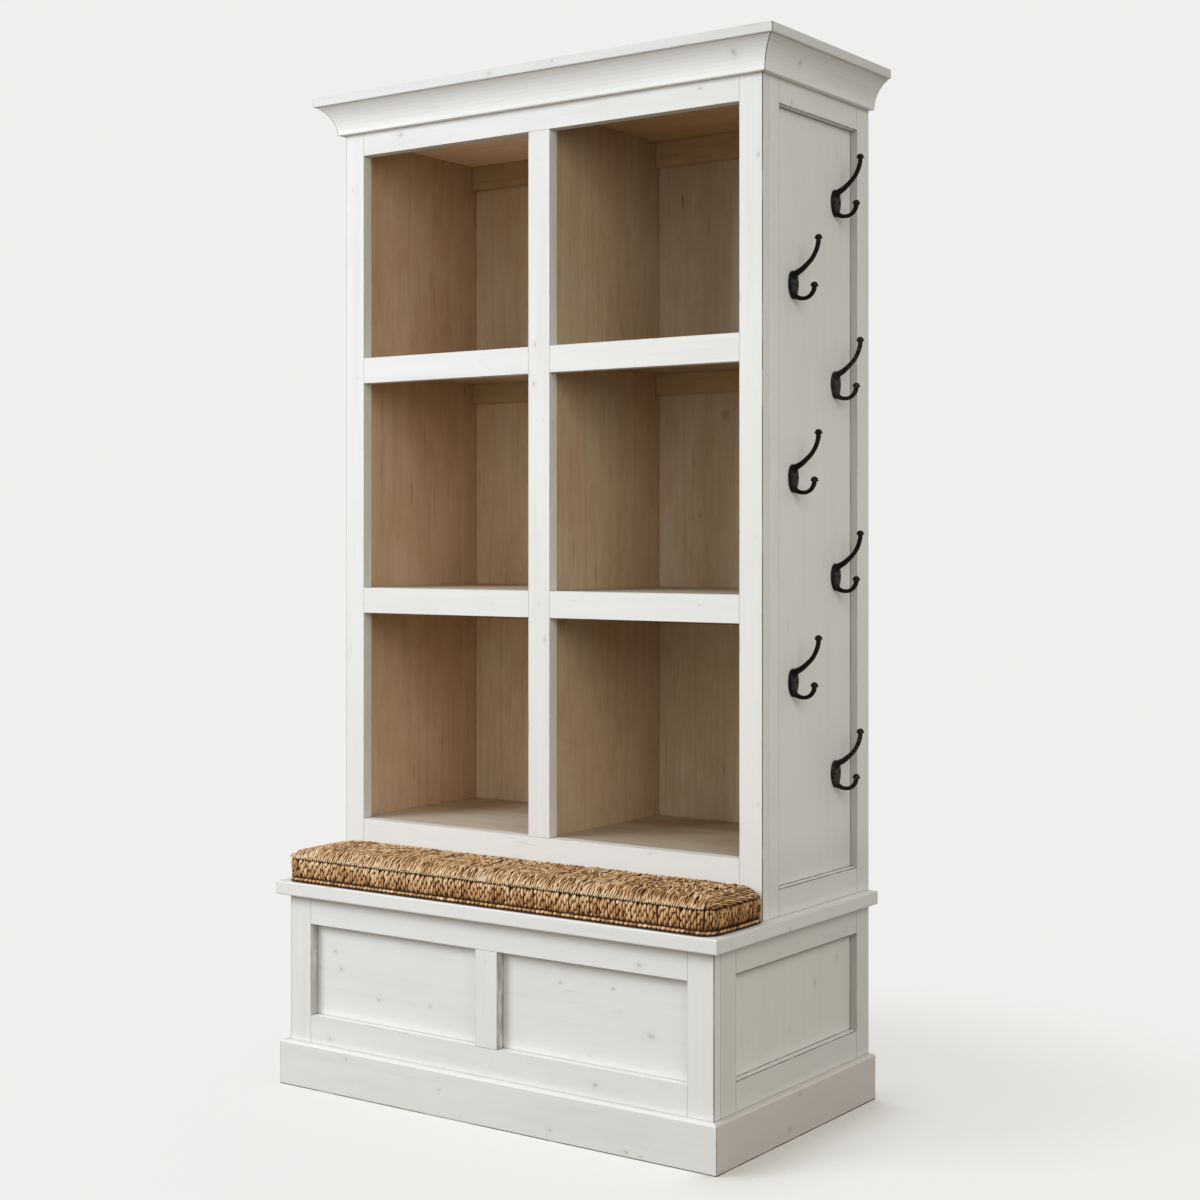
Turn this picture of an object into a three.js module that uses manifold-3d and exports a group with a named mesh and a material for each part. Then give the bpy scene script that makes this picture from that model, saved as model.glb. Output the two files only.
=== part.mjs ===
// Mudroom locker unit: an open tower of six cubbies on a closed bench base, with coat hooks on one side.
// Millimetres, +Z up, +X to the viewer's right, +Y towards the wall. The back of the unit is flush.
import * as THREE from 'three';
import { mergeVertices } from 'three/addons/utils/BufferGeometryUtils.js';
import Module from 'manifold-3d';

const wasm = await Module();
wasm.setup();

// Whole unit
const overall_height = 2012;
const carcass_width = 1004;
const tower_depth = 408;
const seat_projection = 164.5;
const seat_height = 409;

// Clearances
const joint_gap = 0.3;
const cut_overrun = 5;

// Side walls: a flat board inside, with a frame of stiles and rails glued over it
const side_board_thickness = 15;
const side_frame_thickness = 14;

// Back boards
const back_thickness = 12;
const back_inset = 2;

// Base: front frame, side frames and panels
const base_frame_thickness = 23;
const base_stile_width = 54;
const base_middle_stile_width = 51;
const base_top_rail_height = 56;
const base_bottom_rail_rise = 55;
const base_bottom_rail_lap = 28;
const base_panel_recess = 19.5;
const base_panel_thickness = 9;
const base_panel_let_in = 9;
const base_side_front_stile_width = 51;
const base_side_rear_stile_width = 50;
const base_side_top_rail_height = 52;
const base_partition_thickness = 19;
const base_floor_thickness = 18;

// Bench top
const bench_thickness = 27;
const bench_side_overhang = 20;
const bench_front_overhang = 22;
const bench_edge_round = 2.5;

// Plinth
const plinth_height = 88;
const plinth_thickness = 15;
const plinth_chamfer = 3.5;

// Tower: face frame
const tower_frame_thickness = 24;
const tower_stile_width = 48;
const mullion_width = 51;
const top_rail_height = 103;
const bottom_rail_height = 109;
const shelf_rail_height = 52;
const lower_cubby_height = 426;
const middle_cubby_height = 423;

// Tower: side frames
const tower_side_front_stile_width = 35.5;
const tower_side_rear_stile_width = 48.5;
const tower_side_bottom_rail_height = 51;

// Tower: inner boards
const tower_partition_thickness = 38;
const tower_floor_thickness = 22;
const shelf_thickness = 30;
const ceiling_rise = 36;
const ceiling_thickness = 19;
const cleat_thickness = 14;
const top_cleat_height = 54;
const shelf_cleat_height = 44;

// Crown: a cove moulding under a flat cap
const cap_thickness = 19;
const cap_nosing = 5;
const cap_edge_round = 2;
const cove_height = 56;
const cove_foot = 13;
const cove_reach = 44;
const cove_steps = 8;

// Seat cushion, set in from the bench's edges and from the tower
const cushion_end_setback = 18;
const cushion_front_setback = 6;
const cushion_rear_gap = 8.5;
const cushion_side_height = 46;
const cushion_crown = 22;
const cushion_front_corner_radius = 17;
const cushion_rear_corner_radius = 9;
const cushion_side_pull = 2;
const cushion_edge_roll = 3;
const cushion_top_roll = 27;
const cushion_end_roll = 70;
const cushion_segments = { across: 34, deep: 10, high: 4 };

// Coat hook: a cast plate with a long upper prong and a short lower one
const plate_height = 53;
const plate_width = 33.5;
const plate_thickness = 5.5;
const plate_bevel = 2;
const plate_egg_share = 0.1;
const plate_points = 16;
const upper_prong_reach = 54.5;
const upper_prong_rise = 85.5;
const lower_prong_reach = 46;
const lower_prong_drop = 26.5;
const prong_root_radius = 6.5;
const finial_radius = 6.8;
const finial_collar_radius = 7.5;
const finial_collar_height = 2.4;
const prong_sides = 8;
const prong_steps = 11;
const finial_sides = 10;
const finial_steps = 3;

// Centrelines of the prongs, as shares of their reach and rise, from the plate's middle
const upper_prong_shares = [
  [0.03, 0.15], [0.14, 0.243], [0.34, 0.311], [0.57, 0.427], [0.77, 0.553], [0.92, 0.718],
  [0.99, 0.864], [1, 0.971],
];
const lower_prong_shares = [
  [0.04, -0.64], [0.17, -0.85], [0.33, -0.965], [0.49, -1], [0.67, -0.96], [0.85, -0.775],
  [0.97, -0.47], [1, -0.15],
];
const upper_prong_radius_shares = [1, 0.9, 0.76, 0.67, 0.62, 0.62, 0.65, 0.68];
const lower_prong_radius_shares = [0.9, 0.72, 0.58, 0.55, 0.55, 0.6, 0.66, 0.68];

// Places of the hooks on the side panel: shares of its open width, from the front, and of its open height
const front_column_share = 0.247;
const rear_column_share = 0.791;
const hook_height_shares = [0.896, 0.775, 0.652, 0.524, 0.394, 0.259, 0.13];

// Planes that many pieces share
const half_width = carcass_width / 2;
const panel_face = half_width - side_frame_thickness;
const inner_face = panel_face - side_board_thickness;
const base_front = -seat_projection;
const base_frame_back = base_front + base_frame_thickness;
const base_top = seat_height - bench_thickness;
const base_opening_low = plinth_height + base_bottom_rail_rise;
const base_opening_high = base_top - base_top_rail_height;
const back_rear = tower_depth - back_inset;
const back_front = back_rear - back_thickness;
const tower_top = overall_height - cap_thickness;
const cubby_top = tower_top - top_rail_height;
const tower_floor_top = seat_height + bottom_rail_height;
const lower_shelf_top = tower_floor_top + lower_cubby_height + shelf_rail_height;
const upper_shelf_top = lower_shelf_top + middle_cubby_height + shelf_rail_height;
const ceiling_low = cubby_top + ceiling_rise;
const tower_stile_inner = half_width - tower_stile_width;
const partition_face = tower_partition_thickness / 2;
const bench_front = base_front - bench_front_overhang;

// Materials
const paint = (name, color, roughness, metalness = 0) => {
  const material = new THREE.MeshStandardMaterial({ color, roughness, metalness });
  material.name = name;
  return material;
};
const white_pine = () => paint('white_pine', 0xe6e5e1, 0.6);
const inner_pine = () => paint('inner_pine', 0xb9a489, 0.7);
const cast_iron = () => paint('cast_iron', 0x1b1a19, 0.5, 0.6);
const seagrass = () => paint('seagrass', 0xb98f5c, 0.85);

const named = (name, geometry, material) => {
  const mesh = new THREE.Mesh(geometry, material);
  mesh.name = name;
  return mesh;
};

// A square-edged board between two limits along each axis
function boardGeometry([x0, x1], [y0, y1], [z0, z1]) {
  const geometry = new THREE.BoxGeometry(1, 1, 1);
  const place = geometry.getAttribute('position');
  for (let i = 0; i < place.count; i += 1) {
    place.setXYZ(i, place.getX(i) < 0 ? x0 : x1, place.getY(i) < 0 ? y0 : y1, place.getZ(i) < 0 ? z0 : z1);
  }
  return geometry;
}

const board = (name, xs, ys, zs, material) => named(name, boardGeometry(xs, ys, zs), material);

// The same board on the right (side 1) or mirrored to the left (side -1)
const across = (side, low, high) => (side > 0 ? [low, high] : [-high, -low]);
const sideName = (side) => (side > 0 ? 'right' : 'left');

// Moves the points of an extrusion that is 1 deep: its depth, 0 to 1, becomes a place given by the caller
function remap(geometry, move) {
  const place = geometry.getAttribute('position');
  for (let i = 0; i < place.count; i += 1) {
    const [x, y, z] = move(place.getX(i), place.getY(i), place.getZ(i));
    place.setXYZ(i, x, y, z);
  }
  geometry.deleteAttribute('normal');
  geometry.deleteAttribute('uv');
  const merged = mergeVertices(geometry);
  merged.computeVertexNormals();
  return merged;
}

function flipFaces(geometry) {
  const index = geometry.getIndex();
  for (let i = 0; i < index.count; i += 3) {
    const second = index.getX(i + 1);
    index.setX(i + 1, index.getX(i + 2));
    index.setX(i + 2, second);
  }
  geometry.computeVertexNormals();
  return geometry;
}

const rectangle = ([x0, x1], [y0, y1], Form = THREE.Shape) => {
  const form = new Form();
  form.moveTo(x0, y0);
  form.lineTo(x1, y0);
  form.lineTo(x1, y1);
  form.lineTo(x0, y1);
  form.closePath();
  return form;
};

// A side frame: stiles and rails round one opening, lying in the YZ plane
function sideFrame(name, side, outer, opening) {
  const shape = rectangle(outer.y, outer.z);
  shape.holes.push(rectangle(opening.y, opening.z, THREE.Path));
  const flat = new THREE.ExtrudeGeometry(shape, { depth: 1, bevelEnabled: false });
  const xs = across(side, panel_face, half_width);
  return named(name, remap(flat, (u, v, depth) => [depth < 0.5 ? xs[0] : xs[1], u, v]), white_pine());
}

// A slab in plan with its upright edges left square and its top and bottom arrises rounded
function slab(name, [x0, x1], [y0, y1], [z0, z1], round, material) {
  const shape = rectangle([x0, x1], [y0, y1]);
  const geometry = new THREE.ExtrudeGeometry(shape, {
    depth: z1 - z0 - 2 * round,
    bevelEnabled: true,
    bevelThickness: round,
    bevelSize: round,
    bevelOffset: -round,
    bevelSegments: 2,
  });
  const low = z0 + round;
  return named(name, remap(geometry, (x, y, z) => [x, y, Math.min(Math.max(z + low, z0), z1)]), material);
}

// A moulding's section, standing out from the wall by u and up by v, run along the front or a side.
// Its ends are mitred at 45 degrees, and the front length is drawn back by a joint gap at each mitre.
function frontRun(name, shape, half, front, low, material) {
  const flat = new THREE.ExtrudeGeometry(shape, { depth: 1, bevelEnabled: false });
  const run = remap(flat, (u, v, depth) => {
    const reach = half + u - joint_gap;
    return [depth < 0.5 ? -reach : reach, front - u, low + v];
  });
  return named(name, flipFaces(run), material);
}

function sideRun(name, shape, side, half, front, back, low, material) {
  const flat = new THREE.ExtrudeGeometry(shape, { depth: 1, bevelEnabled: false });
  const run = remap(flat, (u, v, depth) => [side * (half + u), depth < 0.5 ? back : front - u, low + v]);
  return named(name, side > 0 ? run : flipFaces(run), material);
}

// Solids for cutting and joining
function toSolid(geometry) {
  const bare = geometry.clone();
  bare.deleteAttribute('normal');
  bare.deleteAttribute('uv');
  const merged = mergeVertices(bare);
  const vertProperties = new Float32Array(merged.getAttribute('position').array);
  const triVerts = new Uint32Array(merged.getIndex().array);
  return new wasm.Manifold(new wasm.Mesh({ numProp: 3, vertProperties, triVerts }));
}

function fromSolid(solid) {
  const mesh = solid.getMesh();
  const geometry = new THREE.BufferGeometry();
  geometry.setAttribute('position', new THREE.BufferAttribute(new Float32Array(mesh.vertProperties), 3));
  geometry.setIndex(new THREE.BufferAttribute(new Uint32Array(mesh.triVerts), 1));
  geometry.computeVertexNormals();
  return geometry;
}

// Base

const base_stile_inner = half_width - base_stile_width;
const base_middle_face = base_middle_stile_width / 2;
const base_panel_front = base_front + base_panel_recess;
const base_panel_back = base_panel_front + base_panel_thickness;

const basePanelLimits = (side) => ({
  x: across(side, base_middle_face - base_panel_let_in, base_stile_inner + base_panel_let_in),
  z: [base_opening_low - base_panel_let_in, base_opening_high + base_panel_let_in],
});

// The rebates that both front panels lie in, open at the frame's back
function panelPocket(side) {
  const { x, z } = basePanelLimits(side);
  const grow = ([low, high]) => [low - joint_gap, high + joint_gap];
  const depth = [base_panel_front - joint_gap, base_frame_back + cut_overrun];
  return toSolid(boardGeometry(grow(x), depth, grow(z)));
}

function rebatedBoard(name, xs, zs) {
  let solid = toSolid(boardGeometry(xs, [base_front, base_frame_back], zs));
  for (const side of [-1, 1]) solid = solid.subtract(panelPocket(side));
  return named(name, fromSolid(solid), white_pine());
}

function baseFront() {
  const group = new THREE.Group();
  for (const side of [-1, 1]) {
    const xs = across(side, base_stile_inner, half_width);
    group.add(rebatedBoard(`base_stile_${sideName(side)}`, xs, [0, base_top]));
    const { x, z } = basePanelLimits(side);
    group.add(board(`base_panel_${sideName(side)}`, x, [base_panel_front, base_panel_back], z, white_pine()));
  }
  const between = [-base_stile_inner, base_stile_inner];
  group.add(rebatedBoard('base_rail_top', between, [base_opening_high, base_top]));
  const bottom_rail = [plinth_height - base_bottom_rail_lap, base_opening_low];
  group.add(rebatedBoard('base_rail_bottom', between, bottom_rail));
  const middle = [-base_middle_face, base_middle_face];
  group.add(rebatedBoard('base_stile_middle', middle, [base_opening_low, base_opening_high]));
  return group;
}

function baseSides() {
  const group = new THREE.Group();
  const outer = { y: [base_frame_back, tower_depth], z: [0, base_top] };
  const opening = {
    y: [base_frame_back + base_side_front_stile_width, tower_depth - base_side_rear_stile_width],
    z: [base_opening_low, base_top - base_side_top_rail_height],
  };
  for (const side of [-1, 1]) {
    const xs = across(side, inner_face, panel_face);
    group.add(board(`base_side_board_${sideName(side)}`, xs, outer.y, outer.z, white_pine()));
    group.add(sideFrame(`base_side_frame_${sideName(side)}`, side, outer, opening));
  }
  return group;
}

function baseInside() {
  const group = new THREE.Group();
  const between = [-inner_face, inner_face];
  const floor_low = plinth_height;
  const floor_high = floor_low + base_floor_thickness;
  const middle = [-base_partition_thickness / 2, base_partition_thickness / 2];
  const inside = [base_frame_back, back_front];
  group.add(board('base_floor', between, inside, [floor_low, floor_high], inner_pine()));
  group.add(board('base_back', between, [back_front, back_rear], [0, base_top], inner_pine()));
  const depth = [Math.max(base_panel_back + joint_gap, base_frame_back), back_front];
  group.add(board('base_partition', middle, depth, [floor_high, base_top], inner_pine()));
  return group;
}

function plinth() {
  const group = new THREE.Group();
  const section = new THREE.Shape();
  section.moveTo(0, 0);
  section.lineTo(plinth_thickness, 0);
  section.lineTo(plinth_thickness, plinth_height - plinth_chamfer);
  section.lineTo(plinth_thickness - plinth_chamfer, plinth_height);
  section.lineTo(0, plinth_height);
  section.closePath();
  group.add(frontRun('plinth_front', section, half_width, base_front, 0, white_pine()));
  for (const side of [-1, 1]) {
    const name = `plinth_${sideName(side)}`;
    group.add(sideRun(name, section, side, half_width, base_front, tower_depth, 0, white_pine()));
  }
  return group;
}

function benchTop() {
  const half = half_width + bench_side_overhang;
  const ys = [bench_front, tower_depth];
  return slab('bench_top', [-half, half], ys, [base_top, seat_height], bench_edge_round, white_pine());
}

// Tower

function faceFrame() {
  const group = new THREE.Group();
  const ys = [0, tower_frame_thickness];
  const mullion_face = mullion_width / 2;
  const between = [-tower_stile_inner, tower_stile_inner];
  for (const side of [-1, 1]) {
    const xs = across(side, tower_stile_inner, half_width);
    group.add(board(`tower_stile_${sideName(side)}`, xs, ys, [seat_height, tower_top], white_pine()));
  }
  group.add(board('tower_rail_top', between, ys, [cubby_top, tower_top], white_pine()));
  group.add(board('tower_rail_bottom', between, ys, [seat_height, tower_floor_top], white_pine()));
  const mullion = [-mullion_face, mullion_face];
  group.add(board('tower_mullion', mullion, ys, [tower_floor_top, cubby_top], white_pine()));
  for (const [row, top] of [['lower', lower_shelf_top], ['upper', upper_shelf_top]]) {
    for (const side of [-1, 1]) {
      const xs = across(side, mullion_face, tower_stile_inner);
      const name = `shelf_rail_${row}_${sideName(side)}`;
      group.add(board(name, xs, ys, [top - shelf_rail_height, top], white_pine()));
    }
  }
  return group;
}

function towerSides() {
  const group = new THREE.Group();
  const outer = { y: [tower_frame_thickness, tower_depth], z: [seat_height, tower_top] };
  for (const side of [-1, 1]) {
    const xs = across(side, inner_face, panel_face);
    group.add(board(`tower_side_board_${sideName(side)}`, xs, outer.y, outer.z, white_pine()));
    group.add(sideFrame(`tower_side_frame_${sideName(side)}`, side, outer, towerSideOpening()));
  }
  return group;
}

function towerSideOpening() {
  return {
    y: [tower_frame_thickness + tower_side_front_stile_width, tower_depth - tower_side_rear_stile_width],
    z: [seat_height + tower_side_bottom_rail_height, cubby_top],
  };
}

function towerInside() {
  const group = new THREE.Group();
  const between = [-inner_face, inner_face];
  const ys = [tower_frame_thickness, back_front];
  group.add(board('tower_back', between, [back_front, back_rear], [seat_height, tower_top], inner_pine()));
  const ceiling = [ceiling_low, ceiling_low + ceiling_thickness];
  group.add(board('tower_ceiling', between, ys, ceiling, inner_pine()));
  const partition = [-partition_face, partition_face];
  group.add(board('tower_partition', partition, ys, [seat_height, ceiling_low], inner_pine()));
  for (const side of [-1, 1]) {
    const xs = across(side, partition_face, inner_face);
    const floor = [tower_floor_top - tower_floor_thickness, tower_floor_top];
    group.add(board(`tower_floor_${sideName(side)}`, xs, ys, floor, inner_pine()));
    for (const [row, top] of [['lower', lower_shelf_top], ['upper', upper_shelf_top]]) {
      const zs = [top - shelf_thickness, top];
      group.add(board(`shelf_${row}_${sideName(side)}`, xs, ys, zs, inner_pine()));
    }
    group.add(...backCleats(side, xs));
  }
  return group;
}

// Cleats across the back, one under each shelf and one under the ceiling
function backCleats(side, xs) {
  const ys = [back_front - cleat_thickness, back_front];
  const rows = [
    ['lower', lower_shelf_top - shelf_thickness, shelf_cleat_height],
    ['middle', upper_shelf_top - shelf_thickness, shelf_cleat_height],
    ['upper', ceiling_low, top_cleat_height],
  ];
  return rows.map(([row, high, height]) => (
    board(`cleat_${row}_${sideName(side)}`, xs, ys, [high - height, high], inner_pine())
  ));
}

// Crown

function coveSection() {
  const rise = cove_height;
  const out = cove_reach - cove_foot;
  const radius = out / 2 + (rise * rise) / (2 * out);
  const sweep = Math.asin(rise / radius);
  const section = new THREE.Shape();
  section.moveTo(0, 0);
  section.lineTo(cove_foot, 0);
  for (let i = 1; i <= cove_steps; i += 1) {
    const angle = (sweep * i) / cove_steps;
    section.lineTo(cove_foot + radius * (1 - Math.cos(angle)), radius * Math.sin(angle));
  }
  section.lineTo(0, cove_height);
  section.closePath();
  return section;
}

function crown() {
  const group = new THREE.Group();
  const section = coveSection();
  const low = tower_top - cove_height - joint_gap;
  group.add(frontRun('crown_cove_front', section, half_width, 0, low, white_pine()));
  for (const side of [-1, 1]) {
    const name = `crown_cove_${sideName(side)}`;
    group.add(sideRun(name, section, side, half_width, 0, tower_depth, low, white_pine()));
  }
  const overhang = cove_reach + cap_nosing;
  const half = half_width + overhang;
  const ys = [-overhang, tower_depth];
  group.add(slab('crown_cap', [-half, half], ys, [tower_top, overall_height], cap_edge_round, white_pine()));
  return group;
}

// Cushion

// Draws the corners of a rectangle's plan in to a radius, wider at the front than at the rear
function roundCorner(x, y, half_x, half_y) {
  const radius = y < 0 ? cushion_front_corner_radius : cushion_rear_corner_radius;
  const over_x = Math.abs(x) - (half_x - radius);
  const over_y = Math.abs(y) - (half_y - radius);
  if (over_x <= 0 || over_y <= 0) return [x, y];
  const shrink = Math.max(over_x, over_y) / Math.hypot(over_x, over_y);
  return [
    Math.sign(x) * (half_x - radius + over_x * shrink),
    Math.sign(y) * (half_y - radius + over_y * shrink),
  ];
}

// How far the side stands in from the widest outline, from the bottom edge (-1) to the top seam (1)
function sideInset(level) {
  const past_middle = Math.abs(level) * 2 - 1;
  return past_middle > 0 ? cushion_edge_roll * past_middle : cushion_side_pull * -past_middle;
}

// How much of the crown is left at a distance from the cushion's edge
function rollShare(distance, roll) {
  const rest = Math.max(1 - distance / roll, 0);
  return Math.sqrt(1 - rest * rest);
}

const cushion_half_length = half_width + bench_side_overhang - cushion_end_setback;
const cushion_front = bench_front + cushion_front_setback;

function cushionGeometry() {
  const { across: nx, deep, high } = cushion_segments;
  const geometry = new THREE.BoxGeometry(2, 2, 2, nx, deep, high);
  const half_x = cushion_half_length;
  const half_y = (-cushion_rear_gap - cushion_front) / 2;
  const spread = (share) => Math.sin((share * Math.PI) / 2);
  return remap(geometry, (u, v, level) => {
    const inset = sideInset(level);
    const flat_x = half_x * spread(u);
    const flat_y = half_y * spread(v);
    const [x, y] = roundCorner(flat_x, flat_y, half_x, half_y);
    const end_share = rollShare(half_x - Math.abs(flat_x), cushion_end_roll);
    const crown_height = cushion_crown * end_share * rollShare(half_y - Math.abs(flat_y), cushion_top_roll);
    const z = (cushion_side_height * (level + 1)) / 2 + (level >= 1 ? crown_height : 0);
    return [x * (1 - inset / half_x), y * (1 - inset / half_y), z];
  });
}

function cushion() {
  const mesh = named('seat_cushion', cushionGeometry(), seagrass());
  mesh.position.set(0, (cushion_front - cushion_rear_gap) / 2, seat_height + joint_gap);
  return mesh;
}

// Hooks, modelled standing out along +X from a wall at x = 0, with the plate's middle at the origin

function plateSolid() {
  const outline = [];
  for (let i = 0; i < plate_points; i += 1) {
    const angle = (i / plate_points) * 2 * Math.PI;
    const half_wide = (plate_width / 2) * (1 + plate_egg_share * Math.sin(angle));
    outline.push(new THREE.Vector2(half_wide * Math.cos(angle), (plate_height / 2) * Math.sin(angle)));
  }
  const flat = new THREE.ExtrudeGeometry(new THREE.Shape(outline), {
    depth: plate_thickness - plate_bevel,
    bevelEnabled: true,
    bevelThickness: plate_bevel,
    bevelSize: plate_bevel,
    bevelOffset: -plate_bevel,
    bevelSegments: 1,
  });
  return toSolid(remap(flat, (u, v, depth) => [depth, u, v]));
}

// A round rod of changing radius along a curve in the XZ plane
function prongSolid(places, radii) {
  const curve = new THREE.CatmullRomCurve3(places.map(([x, z]) => new THREE.Vector3(x, 0, z)));
  const radiusAt = (t) => {
    const at = t * (radii.length - 1);
    const low = Math.min(Math.floor(at), radii.length - 2);
    return THREE.MathUtils.lerp(radii[low], radii[low + 1], at - low);
  };
  const rod = new THREE.CylinderGeometry(1, 1, 1, prong_sides, prong_steps - 1);
  return toSolid(remap(rod, (x, y, z) => {
    const t = 0.5 - y;
    const radius = radiusAt(t);
    const centre = curve.getPoint(t);
    const along = curve.getTangent(t);
    return [centre.x + along.z * x * radius, z * radius, centre.z - along.x * x * radius];
  }));
}

// The knob on a prong's end: a collar under a dome, revolved about the prong's axis
function finialSolid(centre, along, neck_radius) {
  const profile = [[0, -finial_collar_height], [neck_radius, -finial_collar_height]];
  profile.push([finial_collar_radius, -finial_collar_height / 2], [finial_collar_radius, 0]);
  for (let i = 0; i <= finial_steps; i += 1) {
    const angle = ((Math.PI / 2) * i) / finial_steps;
    profile.push([finial_radius * Math.cos(angle), finial_radius * Math.sin(angle)]);
  }
  const points = profile.map(([r, h]) => new THREE.Vector2(Math.max(r, 0), h));
  points[points.length - 1].x = 0;
  const knob = new THREE.LatheGeometry(points, finial_sides);
  const turn = new THREE.Quaternion().setFromUnitVectors(new THREE.Vector3(0, 1, 0), along);
  knob.applyQuaternion(turn);
  knob.translate(centre.x, centre.y, centre.z);
  return toSolid(knob);
}

function prong(reach, rise, shares, radius_shares) {
  const places = shares.map(([x, z]) => [x * reach, z * rise]);
  const radii = radius_shares.map((share) => share * prong_root_radius);
  const [[x0, z0], [x1, z1]] = places.slice(-2);
  const along = new THREE.Vector3(x1 - x0, 0, z1 - z0).normalize();
  return prongSolid(places, radii).add(finialSolid(new THREE.Vector3(x1, 0, z1), along, radii.at(-1)));
}

// The back of the casting is ground flat where it meets the wall
function hookGeometry() {
  const upper = prong(upper_prong_reach, upper_prong_rise, upper_prong_shares, upper_prong_radius_shares);
  const lower = prong(lower_prong_reach, lower_prong_drop, lower_prong_shares, lower_prong_radius_shares);
  const wide = plate_width * 2;
  const behind = boardGeometry([-wide, 0], [-wide, wide], [-plate_height, plate_height]);
  return fromSolid(plateSolid().add(upper).add(lower).subtract(toSolid(behind)));
}

function hooks() {
  const group = new THREE.Group();
  const geometry = hookGeometry();
  const { y, z } = towerSideOpening();
  hook_height_shares.forEach((height_share, i) => {
    const column_share = i % 2 === 0 ? rear_column_share : front_column_share;
    const mesh = named(`coat_hook_${i + 1}`, geometry, cast_iron());
    mesh.position.set(
      panel_face + joint_gap,
      THREE.MathUtils.lerp(y[0], y[1], column_share),
      THREE.MathUtils.lerp(z[0], z[1], height_share),
    );
    group.add(mesh);
  });
  return group;
}

// Assembly, with the origin under the middle of the whole unit

const group = new THREE.Group();
group.add(baseFront(), baseSides(), baseInside(), plinth(), benchTop());
group.add(faceFrame(), towerSides(), towerInside(), crown(), cushion(), hooks());
group.position.y = -(tower_depth + bench_front) / 2;

export default group;
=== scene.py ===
"""Looks of the mudroom locker unit: white and natural pine, black cast hooks and a woven seagrass pad."""

import math
import random

import bpy
import numpy as np
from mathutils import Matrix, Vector


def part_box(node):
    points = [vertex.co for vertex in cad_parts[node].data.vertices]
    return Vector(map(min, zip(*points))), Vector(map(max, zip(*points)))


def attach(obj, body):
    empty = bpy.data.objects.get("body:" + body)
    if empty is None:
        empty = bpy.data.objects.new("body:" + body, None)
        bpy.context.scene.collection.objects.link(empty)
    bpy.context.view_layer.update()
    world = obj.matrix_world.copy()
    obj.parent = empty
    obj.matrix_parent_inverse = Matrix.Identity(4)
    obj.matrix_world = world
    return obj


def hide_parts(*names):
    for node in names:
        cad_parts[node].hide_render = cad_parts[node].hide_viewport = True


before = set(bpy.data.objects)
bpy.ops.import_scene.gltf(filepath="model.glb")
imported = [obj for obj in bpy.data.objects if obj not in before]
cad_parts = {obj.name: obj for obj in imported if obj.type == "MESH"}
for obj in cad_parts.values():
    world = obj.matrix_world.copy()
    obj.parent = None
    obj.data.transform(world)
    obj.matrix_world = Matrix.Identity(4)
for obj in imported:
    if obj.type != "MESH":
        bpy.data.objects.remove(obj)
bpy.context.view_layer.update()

MM = 0.001
X, Y, Z = 0, 1, 2

# The photograph's camera
CAMERA_PLACE = (2.3425, -3.2213, 1.1001)
CAMERA_AZIMUTH = 35.238
CAMERA_LENS_MM = 60.163
CAMERA_SENSOR_MM = 36.0
CAMERA_SHIFT_Y = -0.05225

# Light, as linear colours. Each lamp holds its place, what it faces, its size, power and colour
BACKDROP = (0.871, 0.863, 0.847)
AMBIENT = (0.43, 0.417, 0.39)
KEY = ((-2.6, -3.6, 2.9), (0, 0, 0.9), 2.4, 166, (0.92, 0.965, 1.02))
FILL = ((3.4, -2.3, 2.6), (0, 0, 0.9), 2.2, 60, (0.975, 0.98, 0.925))

FLOOR_HALF = 40.0
FLOOR_COLOUR = (0.26, 0.22, 0.17)
SHADOW_DEPTH = 0.4
SHADOW_MIDDLE = (0.33, 0.1, 0.0)
SHADOW_FROM_TO = (0.5, 1.25)
# Painted contact shadow on the floor right of the unit, from ambient occlusion: its reach, its colour, and
# the x over which it sets in
CONTACT_SHADOW_REACH = 0.22
CONTACT_SHADOW_COLOUR = (0.50, 0.47, 0.40)
CONTACT_SHADOW_FROM_TO = (0.45, 0.55)

# Finishes, and the colours of painted shade and light, as linear colours
WHITE = (0.83, 0.828, 0.815)
WHITE_STREAK = (0.73, 0.72, 0.70)
WHITE_THIN = (0.76, 0.75, 0.72)
WHITE_FLECK = (0.47, 0.43, 0.38)
KNOT = (0.36, 0.33, 0.29)
# Dark joints, and painted shade on reveal faces and at the plinths' foot
SEAM_AND_SHADE = (0.17, 0.135, 0.095)
# Colour of painted shade in joints and inner corners of the white boards
CORNER_SHADE_COLOUR = (0.19, 0.155, 0.12)
BARE_WOOD = (0.42, 0.34, 0.26)
INNER = (0.60, 0.415, 0.27)
INNER_DARK = (0.52, 0.335, 0.205)
INNER_PALE = (0.66, 0.47, 0.32)
# Flecks in the inner wood, and the colour of painted shade in its corners
INNER_FLECK_AND_SHADE = (0.20, 0.11, 0.055)
INNER_GRAIN = (0.34, 0.225, 0.13)
# Whitewash, and the colour of painted light on the front of floors and shelves
INNER_WASH_AND_LIGHT = (0.72, 0.60, 0.47)

# Painted light and shade on the white paint, by the start of the boards' names: how much a board differs from
# that paint. Plinth sides, the crown's cap, and the base's side boards and frames get painted shade, the
# crown's undersides painted light, and the tower's sides painted light with painted shade low down.
PLAIN = (1.0, 1.0, 1.0)
PLINTH_SIDES = ("plinth_left", "plinth_right")
PAINT_SHADE_TONES = {
    **dict.fromkeys(PLINTH_SIDES, (0.873, 0.82, 0.785)),
    "crown_cap": (0.81, 0.81, 0.805),
    "base_side_board": (0.97, 0.97, 0.94),
}
CROWN_UNDER_LIGHT = (1.16, 1.16, 1.14)
BASE_FRAME_SHADE = (0.93, 0.93, 0.905)
TOWER_SIDE_LIGHT = (1.06, 1.06, 1.06)
TOWER_SIDE_LOW_SHADE = (0.94, 0.94, 0.92)
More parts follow.
